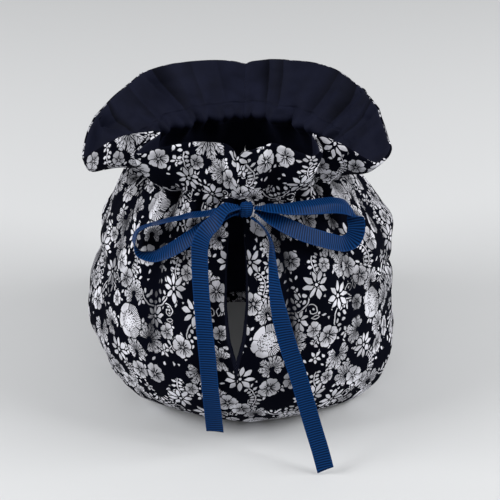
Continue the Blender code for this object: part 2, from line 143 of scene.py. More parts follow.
RIM_RIGHT = (
    (-1.0, 73.0, 187.5),
    (2.0, 74.0, 191.5),
    (5.0, 74.0, 192.5),
    (10.0, 70.5, 192.3),
    (16.5, 67.5, 192.6),
    (21.5, 72.0, 191.3),
    (26.0, 80.0, 189.8),
    (30.5, 83.5, 187.6),
    (34.0, 83.0, 188.6),      # crest of the front pleat
    (36.0, 79.0, 190.5),      # the wall that shows its lining
    (39.5, 68.0, 192.5),
    (41.5, 66.5, 192.5),      # valley behind it
    (43.5, 77.0, 191.0),
    (46.5, 85.5, 187.6),
    (51.0, 93.5, 180.5),
    (56.0, 98.0, 175.3),
    (62.0, 99.0, 175.5),      # drooping ear
    (68.0, 98.0, 176.3),
    (73.0, 94.0, 178.5),
    (80.0, 89.5, 182.5),
    (90.0, 86.5, 183.5),
    (101.0, 85.5, 184.5),
    (112.0, 88.5, 182.0),
    (121.0, 93.0, 179.5),
    (130.0, 93.5, 182.3),     # crease
    (139.0, 96.0, 183.8),
    (150.0, 93.0, 185.6),
    (159.0, 90.5, 185.2),     # crease
    (168.0, 94.0, 182.6),
    (174.5, 94.0, 181.0),
    (178.0, 91.0, 180.2),
)

# Folds that run down from the tie and fade out on the belly. Columns: azimuth at the tie, azimuth
# at the belly, depth, half width in degrees, share of the body where the fold begins
FOLDS = (
    (-168.0, -166.0, 4.0, 7.0, 0.42),
    (-157.0, -155.0, 2.5, 4.0, 0.66),
    (-146.0, -143.0, 5.0, 8.0, 0.42),
    (-131.0, -130.0, 2.8, 4.5, 0.70),
    (-116.0, -113.0, 4.6, 8.5, 0.42),
    (-101.0, -99.0, 2.5, 4.5, 0.66),
    (-88.0, -84.0, 4.2, 8.0, 0.42),
    (-71.0, -69.0, 3.0, 4.5, 0.70),
    (-58.0, -56.0, 4.6, 7.0, 0.42),
    (-44.0, -44.0, 3.0, 4.0, 0.62),
    (-31.0, -29.0, 5.6, 7.0, 0.40),
    (-18.0, -19.0, 2.6, 3.5, 0.66),
    (14.0, 20.0, 6.0, 6.5, 0.36),
    (29.0, 32.0, 3.0, 4.0, 0.62),
    (44.0, 45.0, 4.8, 7.0, 0.42),
    (57.0, 57.0, 3.0, 4.0, 0.70),
    (72.0, 70.0, 4.2, 8.0, 0.42),
    (86.0, 84.0, 2.6, 4.5, 0.66),
    (101.0, 98.0, 4.6, 8.5, 0.42),
    (117.0, 115.0, 2.8, 4.5, 0.70),
    (131.0, 128.0, 5.0, 8.0, 0.42),
    (145.0, 143.0, 2.6, 4.0, 0.66),
    (158.0, 156.0, 4.4, 7.0, 0.42),
)
FOLD_RUN = 0.42              # share of the body over which a fold reaches its full depth
FOLD_POINT = 1.6             # under 2: sharper in the middle than a bell curve

# The slits' widths, as shares of SLIT_WIDTH, by share of the height from SLIT_BOTTOM to the tie.
# The back slit is the shorter one, sewn shut above and below.
SLIT_SHAPE_AT = (0.0, 0.12, 0.3, 0.5, 0.7, 0.9, 1.0)
SLIT_SHAPE = (0.0, 0.2, 0.8, 1.0, 0.9, 0.62, 0.5)
BACK_SLIT_SHAPE = (0.0, 0.0, 0.1, 1.0, 0.0, 0.0, 0.0)

# Small gathers round the tie. Columns: count round the cosy, phase in degrees, depth,
# reach down the body, reach up the ruffle (as shares of the body and of the ruffle)
GATHERS = (
    (19, 34.0, 2.0, 0.12, 0.45),
    (41, 80.0, 2.2, 0.07, 0.26),
    (29, 10.0, 1.4, 0.12, 0.36),
    (67, 200.0, 0.7, 0.05, 0.16),
)

# Flutes of the ruffle. Columns: azimuth at the tie, azimuth at the rim, depth (outwards if it is
# negative), half width in degrees, share of the ruffle where it is deepest
FLUTES = (
    (17.0, 17.5, 1.5, 4.0, 0.40),
    (5.0, 6.0, -0.8, 5.0, 0.50),
    (28.0, 27.0, -1.0, 5.0, 0.45),
    (60.0, 62.0, 1.2, 5.0, 0.45),
    (80.0, 80.0, 1.4, 5.0, 0.50),
    (92.0, 90.0, 1.2, 4.5, 0.50),
    (105.0, 101.0, -4.0, 3.4, 0.60),
    (115.0, 113.0, 1.5, 4.0, 0.55),
    (123.0, 125.0, -4.5, 3.4, 0.65),
    (137.0, 135.0, -3.0, 3.0, 0.55),
    (149.0, 147.0, 1.5, 5.0, 0.50),
    (159.0, 162.0, -3.0, 2.6, 0.60),
    (166.0, 168.5, -3.8, 2.8, 0.65),
    (-15.0, -14.0, -1.1, 7.0, 0.50),
    (-24.0, -23.0, 1.4, 3.5, 0.35),
    (-46.0, -41.0, -3.2, 4.5, 0.40),
    (-54.0, -47.0, 4.5, 4.0, 0.40),
    (-68.0, -66.0, 1.2, 5.0, 0.50),
    (-84.0, -84.0, 1.4, 5.0, 0.50),
    (-107.0, -102.0, -4.2, 3.8, 0.60),
    (-126.0, -124.0, 1.5, 6.0, 0.50),
    (-146.0, -141.0, -5.0, 4.2, 0.65),
    (-160.0, -158.0, 1.8, 4.0, 0.50),
    (-172.0, -171.0, -1.5, 4.5, 0.50),
)
FLUTE_POINT = 1.3            # as FOLD_POINT
FLUTE_REACH = 0.32           # share of the ruffle over which a flute fades away
FLUTE_START = 0.15           # share of the ruffle over which the flutes start

# Soft ripples all over. Columns: count round the cosy, count up the cloth, phase, depth
RIPPLES = (
    (9, 2.3, 0.5, 0.50),
    (14, -3.1, 2.0, 0.40),
    (23, 4.2, 4.1, 0.28),
    (34, -6.0, 1.2, 0.16),
)
RIPPLE_START = 0.12          # shares over which they start above the hem and end below the rim
RIPPLE_END = 0.25

# Sections through a turned edge, from its folded end round to the flat cloth.
# Columns: outer face's distance from the edge, its offset, inner face's distance, its offset
TURNED_EDGE = (
    (1.50, -0.72, 1.50, -0.40),
    (0.90, -0.80, 1.00, -0.42),
    (0.35, -0.62, 0.70, -0.25),
    (0.05, -0.25, 0.50, 0.00),
    (0.00, 0.15, 0.42, 0.20),
    (0.10, 0.65, 0.50, 0.40),
    (0.45, 1.10, 0.80, 0.60),
    (1.20, 1.40, 1.40, 0.75),
    (2.60, 1.60, 2.60, 0.90),
)
PRINT_OUTER = 1.65           # offsets of the printed cloth's two faces from the middle surface
PRINT_INNER = 0.90
# The lining's top edge, tucked under the turned edge of the printed cloth. Columns: inner face's
# distance from the edge, its offset, outer face's distance, its offset
TUCKED_EDGE = (
    (0.42, -0.82, 0.42, -0.72),
    (0.70, -1.02, 0.75, -0.86),
    (1.20, -1.15, 1.30, -0.92),
    (1.90, -1.15, 2.00, -0.88),
    (2.80, -1.15, 3.00, -0.15),
)
LINING_INNER = -1.15
LINING_OUTER = -0.15
LINING_FACING = 3.4          # how far the lining shows at the foot of a slit's edge
LINING_STARTS = 2.0          # height of the lining's lower edge
EDGE_ROWS = 3                # rows of the cloth that a finished edge takes the place of

CASING_SEAMS = (-6.0, 7.0)   # distance of the casing's two sewn lines above the tie
CASING_SWELL = 0.7           # how far the casing stands out between them
CASING_ROUND = 0.7           # under 1: it rises steeply beside each line
SEAM_PROFILE = (-1.6, -0.9, -0.5, -0.22, 0.0, 0.22, 0.5, 0.9, 1.6)  # rows beside a sewn line
SEAM_DEPTH = 0.55            # how far a sewn line draws the cloth in
SEAM_REACH = 0.45
ROW_ROOM = 0.004             # least distance of another row from these, as a share

EDGE_MIDDLE = 0.3            # offset at which the layers meet at the slits' edges
CLOSED_TAPER = 0.35          # share of the rounding that is left where the halves are sewn up
SEAM_ROUNDING = 1.3          # how far the cloth rounds off towards the seams and the slits
SEAM_COLUMNS = (0.0, 0.12, 0.35, 0.75, 1.3)  # distances of the first columns from a seam
THINNEST = 0.12              # share of the thickness that is left at a seam
LEVEL_HEM = 0.02             # share of the body over which the hem's level normals tilt


def ease(x):
    """0 up to 0, 1 from 1, and smooth between them."""
    x = np.clip(x, 0.0, 1.0)
    return x * x * (3 - 2 * x)


def along(points):
    """How far each point lies along the line through all of them."""
    steps = np.linalg.norm(np.diff(np.asarray(points, float), axis=0), axis=1)
    return np.concatenate([[0.0], np.cumsum(steps)])


def hermite(at, values, slopes, x):
    """The cubic through rows (at, values) with the given slopes, read at x."""
    x = np.clip(x, at[0], at[-1])
    row = np.clip(np.searchsorted(at, x, side="right") - 1, 0, len(at) - 2)
    width = at[row + 1] - at[row]
    s = (x - at[row]) / width
    return ((1 + 2 * s) * (1 - s) ** 2 * values[row] + s * (1 - s) ** 2 * width * slopes[row]
            + s * s * (3 - 2 * s) * values[row + 1] + s * s * (s - 1) * width * slopes[row + 1])


def smooth_curve(at, values, x):
    """A smooth curve through the rows."""
    values = np.asarray(values, float)
    return hermite(at, values, np.gradient(values, at), x)


def crisp_curve(at, values, x):
    """A curve through the rows that never swings past one, so creases stay crisp."""
    values = np.asarray(values, float)
    step = np.diff(at)
    rise = np.diff(values) / step
    before = 2 * step[1:] + step[:-1]
    after = step[1:] + 2 * step[:-1]
    turns = rise[:-1] * rise[1:] <= 0
    safe = np.where(rise == 0, 1.0, rise)
    slopes = np.empty_like(values)
    slopes[0], slopes[-1] = rise[0], rise[-1]
    slopes[1:-1] = np.where(turns, 0.0, (before + after) / (before / safe[:-1] + after / safe[1:]))
    return hermite(at, values, slopes, x)


def polar(radius, azimuth, height):
    """Points round the neck's axis, in millimetres."""
    return np.stack([radius * np.sin(azimuth), -radius * np.cos(azimuth), height], -1)


def to_metres(points):
    """Points round the neck's axis, in millimetres, in the frame's metres."""
    return (np.asarray(points, float) + (NECK_X, 0.0, 0.0)) * MM


class Half:
    """One half of the cosy, as a surface over (p, v).

    p runs from the front seam, 0, to the back seam, 1. v runs up the cloth: 0 at the hem, 1 at
    the tie and 2 at the rim.
    """

    def __init__(self, rim, facing=0.0):
        self.facing = facing
        self.azimuth, self.radius, self.height = np.array(rim).T
        self.azimuth = np.radians(self.azimuth)
        length = along(polar(self.radius, self.azimuth, self.height))
        self.width = length[-1]
        self.columns = length / length[-1]
        self.turn = 1.0 if self.azimuth[-1] > 0 else -1.0
        self.section = np.array(BODY).T
        self.body_rows = along(self.section[[2, 0]].T)
        self.body_height = self.body_rows[-1]
        self.body_rows /= self.body_height
        self.ruffle_height = float(np.median(self.height)) - TIE_HEIGHT

    def body(self, azimuth, v):
        """Radius and height of the plain body."""
        height, left, front, right = (smooth_curve(self.body_rows, c, v) for c in self.section)
        side = np.where(np.sin(azimuth) < 0, left, right)
        return front + (side - front) * np.sin(azimuth) ** 2, height

    def bulges(self, azimuth, height):
        """How far the body stands out beyond its plain section."""
        rise = np.zeros_like(azimuth)
        for centre, middle, out, half_width, half_height in BULGES:
            aside = (azimuth - math.radians(centre)) / math.radians(half_width)
            rise += out * np.exp(-aside ** 2 - ((height - middle) / half_height) ** 2)
        return rise

    def droop(self, azimuth):
        """How far the middle of the ruffle bows out and down."""
        bow = np.zeros_like(azimuth)
        for centre, half_width, far in DROOPS:
            aside = (azimuth - math.radians(centre)) / math.radians(half_width)
            bow += far * np.exp(-aside ** 2)
        return bow

    def folds(self, azimuth, v):
        """How far the broad folds draw the body in."""
        depth = np.zeros_like(azimuth)
        for at_tie, at_belly, fold_depth, half_width, start in FOLDS:
            centre = np.radians(at_belly + (at_tie - at_belly) * v)
            beside = np.abs(azimuth - centre) / math.radians(half_width)
            depth += fold_depth * np.exp(-beside ** FOLD_POINT) * ease((v - start) / FOLD_RUN)
        return depth

    def gathers(self, azimuth, body_v, s):
        """The small gathers, deepest at the tie."""
        depth = np.zeros_like(azimuth)
        for count, phase, gather_depth, reach_down, reach_up in GATHERS:
            wave = 0.5 - 0.5 * np.cos(count * azimuth + math.radians(phase))
            fade = np.exp(-((1 - body_v) / reach_down) ** 2) * np.exp(-(s / reach_up) ** 2)
            depth += gather_depth * wave * fade
        return depth

    def flutes(self, azimuth, s):
        """The ruffle's broad pleats, which fade out before the rim."""
        depth = np.zeros_like(azimuth)
        for at_tie, at_rim, flute_depth, half_width, deepest in FLUTES:
            centre = np.radians(at_tie + (at_rim - at_tie) * s)
            beside = np.abs(azimuth - centre) / math.radians(half_width)
            fade = np.exp(-((s - deepest) / FLUTE_REACH) ** 2)
            depth += flute_depth * np.exp(-beside ** FLUTE_POINT) * fade
        return depth * ease(s / FLUTE_START)

    def ripples(self, azimuth, v):
        """How far the soft ripples stand out."""
        rise = np.zeros_like(azimuth)
        for around, up, phase, ripple_depth in RIPPLES:
            rise += ripple_depth * np.sin(around * azimuth + 2 * math.pi * up * v + phase)
        return rise * ease(v / RIPPLE_START) * ease((2 - v) / RIPPLE_END)

    def above_tie(self, v):
        """Distance above the tie, along the cloth."""
        return (v - 1) * np.where(v < 1, self.body_height, self.ruffle_height)

    def casing(self, v):
        """How far the casing stands out between its two sewn lines."""
        low, high = CASING_SEAMS
        share = np.clip((self.above_tie(v) - low) / (high - low), 0, 1)
        return CASING_SWELL * np.sin(math.pi * share) ** CASING_ROUND

    def gap(self, height, s, shape):
        """Half the gap between the halves: a slit from the belly to the tie."""
        share = (height - SLIT_BOTTOM) / (TIE_HEIGHT - SLIT_BOTTOM)
        slit = 0.5 * SLIT_WIDTH * np.interp(share, SLIT_SHAPE_AT, shape)
        slit = slit - self.facing * np.clip(1 - share, 0, 1)
        return np.maximum(slit * np.clip(1 - s / SLIT_CLOSE, 0, 1), 0.5 * SEAM_GAP)

    def place(self, p, v):
        """Points of the middle surface, in millimetres."""
        p, v = np.broadcast_arrays(np.asarray(p, float), np.asarray(v, float))
        body_v, s = np.clip(v, 0, 1), np.clip(v - 1, 0, 1)
        back = math.radians(BACK_SEAM) - (0 if self.turn > 0 else 2 * math.pi)
        front = math.radians(FRONT_SEAM)
        azimuth = front + (back - front) * p
        radius, height = self.body(azimuth, body_v)
        radius = radius - self.folds(azimuth, body_v) - self.gathers(azimuth, body_v, s)
        radius = radius + self.ripples(azimuth, v) + self.casing(v)
        radius = radius + self.bulges(azimuth, height) * (1 - s)
        flutes = self.flutes(azimuth, s)
        rim_azimuth = self.turn * crisp_curve(self.columns, self.turn * self.azimuth, p)
        rim_radius = crisp_curve(self.columns, self.radius, p)
        rim_height = crisp_curve(self.columns, self.height, p)
        azimuth = azimuth + (rim_azimuth - azimuth) * ease(s)
        radius = (radius + (rim_radius - radius) * s ** FLARE_POWER
                  + RUFFLE_BELLY * np.sin(math.pi * s) - flutes)
        height = height + (rim_height - height) * s
        droop = self.droop(rim_azimuth) * np.sin(math.pi * s ** DROOP_LEAN) ** 2
        radius, height = radius + droop, height - droop
        front_gap = self.gap(height, s, SLIT_SHAPE) * (1 - p)
        back_gap = self.gap(height, s, BACK_SLIT_SHAPE) * p
        azimuth = azimuth + self.turn * np.arcsin((front_gap - back_gap) / radius)
        return polar(radius, azimuth, height)

    def openness(self, p, v):
        """1 beside an open slit, 0 where the halves are sewn together."""
        height = self.place(p, v)[..., 2]
        front, back = (self.gap(height, np.clip(v - 1, 0, 1), shape)
                       for shape in (SLIT_SHAPE, BACK_SLIT_SHAPE))
        return ease((np.where(p < 0.5, front, back) - 0.5 * SEAM_GAP) / OPENING_RUN)

    def outward(self, p, v, step=1e-3):
        """Unit normals. They are level at the hem, so that its underside is flat, and lie in the
        seams' planes at the two edges, so that the halves stay apart."""
        p, v = np.broadcast_arrays(np.asarray(p, float), np.asarray(v, float))
        across = self.place(np.clip(p + step, 0, 1), v) - self.place(np.clip(p - step, 0, 1), v)
        up = (self.place(p, np.clip(v + 4 * step, 0, 2))
              - self.place(p, np.clip(v - 4 * step, 0, 2)))
        normal = np.cross(across, up) * self.turn
        normal[..., 2] *= ease(v / LEVEL_HEM)
        here = self.place(p, v)
        azimuth = np.arctan2(here[..., 0], -here[..., 1])
        round_way = polar(np.ones_like(azimuth), azimuth + 0.5 * math.pi, np.zeros_like(azimuth))
        to_edge = np.minimum(p, 1 - p) * self.width
        at_edge = 1 - ease(to_edge / SEAM_ROUNDING)
        sideways = np.sum(normal * round_way, axis=-1) * at_edge
        normal -= sideways[..., None] * round_way
        return normal / np.linalg.norm(normal, axis=-1, keepdims=True)


HALVES = {"left": Half(RIM_LEFT), "right": Half(RIM_RIGHT)}
LININGS = {"left": Half(RIM_LEFT, LINING_FACING), "right": Half(RIM_RIGHT, LINING_FACING)}


def finish_piece(name, mesh, finish, node):
    """A mesh as a piece that rides on the cosy and takes the place of a CAD node."""
    mesh.materials.clear()
    mesh.materials.append(finish)
    thing = bpy.data.objects.new(name, mesh)
    bpy.context.scene.collection.objects.link(thing)
    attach(thing, BODY_NAME)
    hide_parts(node)
    return thing


def sheet_grid(columns, rows):
    """A closed double grid. Each vertex knows its cell, counted row by row, and its face."""
    bm = bmesh.new()
    bmesh.ops.create_grid(bm, x_segments=columns - 1, y_segments=rows - 1, size=1)
    cell = bm.verts.layers.int.new("cell")
    inner = bm.verts.layers.int.new("inner")
    grid = sorted(bm.verts, key=lambda vert: (round(vert.co.y, 5), round(vert.co.x, 5)))
    for number, vert in enumerate(grid):
        vert[cell] = number
    skin = bmesh.ops.extrude_face_region(bm, geom=bm.faces[:] + bm.edges[:], use_keep_orig=True)
    for vert in skin["geom"]:
        if isinstance(vert, bmesh.types.BMVert):
            vert[inner] = 1
    return bm


def sheet_mesh(name, outer, inner, u, v):
    """A closed sheet through two grids of points, with the flat cloth as its UV map."""
    rows, columns = outer.shape[:2]
    bm = sheet_grid(columns, rows)
    cell, side = bm.verts.layers.int["cell"], bm.verts.layers.int["inner"]
    faces = (outer.reshape(-1, 3), inner.reshape(-1, 3))
    flat = np.stack([u.ravel(), v.ravel()], -1)
    uv = bm.loops.layers.uv.new("flat")
    for vert in bm.verts:
        vert.co = faces[vert[side]][vert[cell]]
    for face in bm.faces:
        face.smooth = True
        for loop in face.loops:
            loop[uv].uv = flat[loop.vert[cell]]
    bmesh.ops.recalc_face_normals(bm, faces=bm.faces)
    mesh = bpy.data.meshes.new(name)
    bm.to_mesh(mesh)
    bm.free()
    return mesh


def cloth_columns(half, count):
    """p of the cloth's columns, closer together beside the seams."""
    edge = np.array(SEAM_COLUMNS) / half.width
    inside = np.linspace(0, 1, count + 2)[1:-1]
    inside = inside[(inside > edge[-1]) & (inside < 1 - edge[-1])]
    return np.concatenate([edge, inside, 1 - edge[::-1]])


def edge_rows(half, p, at, distances, step=0.01):
    """v of points that lie some distance from the hem, at 0, or from the rim, at 2."""
    other = abs(at - step)
    speed = np.linalg.norm(half.place(p, at) - half.place(p, other), axis=-1) / abs(at - other)
    return abs(at - np.asarray(distances)[:, None] / speed)


def seam_taper(half, p):
    """1 on the cloth, less where it rounds off towards a seam or a slit."""
    share = np.clip(np.minimum(p, 1 - p) * half.width / SEAM_ROUNDING, 0, 1)
    return THINNEST + (1 - THINNEST) * np.sqrt(1 - (1 - share) ** 2)


def cloth_faces(half, p, v_outer, outer, v_inner, inner):
    """Two grids of points at the given offsets from the middle surface."""
    taper = seam_taper(half, p)
    middle = 0.5 * (outer + inner)
    faces = []
    for v, offset in ((v_outer, outer), (v_inner, inner)):
        place, normal, openness = half.place(p, v), half.outward(p, v), half.openness(p, v)
        closed = middle + (offset - middle) * (1 - CLOSED_TAPER * (1 - taper))
        slit = EDGE_MIDDLE + (offset - EDGE_MIDDLE) * taper
        shift = closed + (slit - closed) * openness
        faces.append(to_metres(place + shift[..., None] * normal))
    return faces


def sewn_rows(half, count, ruffle_count):
    """Rows of the cloth between its edges, closer together beside the casing's sewn lines."""
    body = np.linspace(0, 1, count + 1)[EDGE_ROWS:]
    ruffle = np.linspace(1, 2, ruffle_count + 1)[1:-EDGE_ROWS]
    seams = [1 + (seam + away) / (half.body_height if seam + away < 0 else half.ruffle_height)
             for seam in CASING_SEAMS for away in SEAM_PROFILE]
    rows = np.concatenate([body, ruffle])
    clear = np.min(np.abs(rows[:, None] - np.array(seams)[None, :]), axis=1)
    return np.sort(np.concatenate([rows[clear > ROW_ROOM], seams]))


def seam_groove(half, v):
    """How far the casing's sewn lines draw the cloth in."""
    return sum(SEAM_DEPTH * np.exp(-((half.above_tie(v) - seam) / SEAM_REACH) ** 2)
               for seam in CASING_SEAMS)


def flat_grid(half, p, outer):
    """Where each point lies on the flat cloth, in metres: u to the right, v upwards."""
    lengths = np.cumsum(np.linalg.norm(np.diff(outer, axis=0), axis=-1), axis=0)
    rise = np.concatenate([[0.0], np.median(lengths, axis=1)])
    u = np.broadcast_to(half.turn * p * half.width * MM, outer.shape[:2])
    return u, np.broadcast_to(rise[:, None], outer.shape[:2])


def printed_half(side, settings):
    """One half of the printed cloth, with its edges turned over."""
    half = HALVES[side]
    p = cloth_columns(half, settings.columns)
    edge = np.array(TURNED_EDGE)
    first, first_in = (edge_rows(half, p, 0.0, edge[:, k]) for k in (0, 2))
    last, last_in = (edge_rows(half, p, 2.0, edge[::-1, k]) for k in (0, 2))
    rows = sewn_rows(half, settings.body_rows, settings.ruffle_rows)
    between = rows[:, None] * np.ones(len(p))
    groove = seam_groove(half, rows)
    outer = np.concatenate([edge[:, 1], PRINT_OUTER - groove, edge[::-1, 1]])[:, None]
    inner = np.concatenate([edge[:, 3], PRINT_INNER - groove, edge[::-1, 3]])[:, None]
    faces = cloth_faces(half, p, np.concatenate([first, between, last]), outer,
                        np.concatenate([first_in, between, last_in]), inner)
    u, v = flat_grid(half, p, faces[0])
    name = f"printed_half_{side}"
    thing = finish_piece(name, sheet_mesh(name, *faces, u, v), printed_cotton(settings),
                         f"panel_{side}")
    return thing


def lining_half(side, settings):
    """One half of the lining, tucked under the printed cloth's turned edge."""
    half = LININGS[side]
    p = cloth_columns(half, settings.lining_columns)
    edge = np.array(TUCKED_EDGE)
    last_in, last_out = (edge_rows(half, p, 2.0, edge[::-1, k]) for k in (0, 2))
    rows = sewn_rows(half, settings.lining_rows, settings.ruffle_rows)
    rows = rows[rows > LINING_STARTS / half.body_height]
    between = rows[:, None] * np.ones(len(p))
    groove = seam_groove(half, rows)
    inner = np.concatenate([LINING_INNER + groove, edge[::-1, 1]])[:, None]
    outer = np.concatenate([LINING_OUTER + groove, edge[::-1, 3]])[:, None]
    faces = cloth_faces(half, p, np.concatenate([between, last_out]), outer,
                        np.concatenate([between, last_in]), inner)
    u, v = flat_grid(half, p, faces[1])
    name = f"lining_half_{side}"
    thing = finish_piece(name, sheet_mesh(name, *faces, u, v), lining_cotton(settings),
                         f"lining_{side}")
    return thing


# ---------------------------------------------------------------- the ribbon

RIBBON_PINCH = 0.52          # share of the width that is left inside the knot
PINCH_REACH = 9.0            # distance over which a pinched ribbon opens out
PLEAT_COUNT = 2.5            # pleats across the half width of a pinched ribbon
PLEAT_DEPTH = 0.55
CUP_MIDDLE = 0.4             # squared share of the width at which a cupped ribbon stays level
SELVEDGE_SHARE = 0.86        # of the half width, where the selvedge starts to thin
SELVEDGE_THINS = 0.35        # share of the thickness that the selvedge loses
SELVEDGE_FROM = 4.6          # distance from the ribbon's middle to its selvedges
RIBS_FADE = 0.3              # distance over which its ribs end there
STEPS_A_RIB = 4              # points along the ribbon for each rib
FEWEST_POINTS = 12           # along a ribbon

# Routes of the ribbon: its middle, and the way across it from its back edge to its front edge.
# Columns: x, y, z of the middle, then x, y, z of the way across
LOOP_LEFT = (
    (-0.1, -77.5, 157.6, 0.0, -1.0, 0.1),
    (-8.4, -78.3, 156.8, 0.0, -1.0, 0.15),
    (-19.0, -77.0, 153.5, 0.05, -1.0, 0.2),
    (-28.0, -75.0, 151.3, 0.05, -1.0, 0.2),
    (-37.1, -72.4, 147.6, 0.05, -1.0, 0.3),
    (-46.1, -68.8, 143.4, 0.05, -1.0, 0.3),
    (-54.1, -66.8, 139.8, 0.15, -1.0, 0.42),
    (-60.2, -65.4, 134.6, 0.25, -1.0, 0.42),
    (-62.3, -66.4, 128.6, 0.25, -1.0, 0.2),
    (-59.6, -69.4, 124.0, 0.1, -1.0, 0.1),
    (-52.3, -72.8, 123.2, 0.05, -1.0, -0.05),
    (-43.4, -76.6, 127.8, 0.15, -0.95, -0.3),
    (-33.8, -78.8, 134.7, 0.3, -0.9, -0.4),
    (-24.9, -78.5, 141.6, 0.4, -0.9, -0.3),
    (-17.3, -77.7, 147.2, 0.4, -0.9, -0.2),
    (-9.1, -77.7, 152.3, 0.2, -1.0, 0.05),
    (-0.2, -77.0, 154.7, 0.0, -1.0, 0.3),
)
LOOP_RIGHT = (
    (8.9, -77.5, 157.9, 0.0, -1.0, 0.3),
    (15.7, -78.0, 157.9, 0.05, -1.0, 0.05),
    (24.3, -77.0, 157.4, 0.05, -1.0, -0.1),
    (35.4, -74.0, 156.3, 0.05, -0.95, -0.3),
    (47.3, -68.2, 154.3, 0.05, -0.9, -0.45),
    (57.8, -60.9, 151.0, 0.05, -0.85, -0.55),
    (65.6, -55.6, 145.8, 0.3, -0.7, -0.6),
    (69.6, -55.2, 138.4, 0.7, -0.25, -0.6),
    (70.0, -58.6, 131.2, 0.9, -0.2, -0.3),
    (67.2, -62.4, 127.4, 0.6, -0.6, -0.5),
    (62.4, -65.2, 127.0, 0.2, -0.8, -0.55),
    (56.2, -68.4, 129.8, 0.0, -0.8, -0.55),
    (48.7, -72.4, 134.2, -0.1, -0.8, -0.55),
    (38.6, -75.6, 139.4, -0.2, -0.8, -0.55),
    (29.5, -77.2, 144.6, -0.3, -0.8, -0.5),
    (21.3, -78.2, 149.6, -0.3, -0.9, -0.3),
    (14.0, -78.2, 153.4, -0.2, -1.0, 0.0),
    (9.1, -77.0, 155.1, 0.0, -1.0, 0.3),
)
TAIL_LEFT = (
    (0.2, -81.8, 160.3, 0.1, -1.0, 0.1),
    (-6.6, -84.7, 161.4, 0.1, -1.0, -0.15),
    (-13.4, -88.5, 154.3, 0.4, -0.8, -0.4),
    (-19.0, -89.2, 148.2, 0.7, -0.65, -0.25),
    (-22.0, -90.0, 140.0, 0.9, -0.4, 0.1),
    (-22.4, -91.0, 130.9, 0.9, -0.35, 0.2),
    (-22.1, -94.0, 119.2, 0.9, -0.35, 0.2),
    (-21.4, -97.2, 107.3, 0.9, -0.35, 0.2),
    (-20.3, -100.6, 92.2, 0.95, -0.3, 0.2),
    (-18.5, -104.4, 70.2, 0.95, -0.2, 0.2),
    (-17.2, -106.0, 49.4, 0.95, -0.2, 0.15),
    (-16.0, -105.3, 32.1, 1.0, -0.1, 0.15),
    (-15.0, -103.7, 16.3, 1.0, 0.0, 0.1),
)
TAIL_RIGHT = (
    (7.6, -80.2, 152.9, 0.1, -0.95, 0.3),
    (11.6, -82.6, 150.6, 0.1, -0.9, 0.4),
    (16.2, -86.0, 146.6, 0.1, -0.9, 0.45),
    (18.8, -89.5, 141.2, 0.15, -0.85, 0.45),
    (19.5, -93.2, 133.4, 0.35, -0.8, 0.45),
    (20.2, -97.0, 124.4, 0.5, -0.75, 0.45),
    (21.6, -100.9, 113.4, 0.7, -0.6, 0.35),
    (24.2, -104.4, 100.5, 0.9, -0.35, 0.3),
    (28.7, -108.0, 83.3, 1.0, 0.0, 0.2),
    (34.2, -111.2, 66.2, 0.95, 0.1, 0.25),
    (39.7, -114.6, 46.9, 0.95, 0.1, 0.25),
    (44.8, -118.0, 29.0, 0.95, 0.1, 0.25),
    (49.2, -121.3, 14.2, 0.95, 0.1, 0.2),
    (52.2, -124.3, 3.2, 0.95, 0.0, 0.3),
)
LEAD_LEFT = (
    (-4.0, -69.8, 151.0, 0.0, 0.0, 1.0),
    (-3.0, -71.2, 151.2, 0.0, 0.0, 1.0),
    (-1.6, -72.4, 151.6, 0.0, 0.0, 1.0),
    (-0.2, -73.3, 152.0, 0.0, 0.0, 1.0),
)
LEAD_RIGHT = (
    (1.4, -69.8, 151.0, 0.0, 0.0, 1.0),
    (1.2, -71.2, 151.2, 0.0, 0.0, 1.0),
    (1.4, -72.3, 151.6, 0.0, 0.0, 1.0),
    (1.9, -73.3, 152.0, 0.0, 0.0, 1.0),
)
LEAD_WIDTH = 3.5             # the ribbon where it leaves the cloth, squeezed together
TAIL_CUT = 2.0               # how far a tail's end slants across its width
CUT_REACH = 3.0              # length of ribbon over which its ribs slant with the cut

# How the ribbon bows across its width, and the right loop's lengthwise crease
LEAD_CUP = 0.1
LOOP_CUP = 0.5
TAIL_CUP = 0.4
CREASED_CUP = 0.3
CREASE_DEPTH = 1.6
CREASE_FROM = 8.0            # distances along the loop
CREASE_TO = 75.0
CREASE_RUN = 12.0            # distance over which the crease starts and ends

KNOT_CENTRE = (4.35, -77.0, 156.4)
KNOT_HALF = (4.1, 4.7, 4.9)
KNOT_RIBS = 22               # ribs round the knot
KNOT_SIDES = 6 * KNOT_RIBS
KNOT_RINGS = 28
KNOT_SQUARENESS = 2.6        # over 2: blunter than a ball at its ends
KNOT_PLEAT = 0.07            # depth of its pleats, as a share of its half height
KNOT_PLEATS = 1.5
KNOT_PLEAT_SWING = 0.9       # how far the pleats wander round the knot
KNOT_WAIST = 0.10            # how far its middle is drawn in, as a share
KNOT_WAIST_REACH = 0.35
KNOT_LEAN = 0.5              # how far its front leans to one side
KNOT_SPREAD = 0.8            # width of the flat ribbon on it, as a share


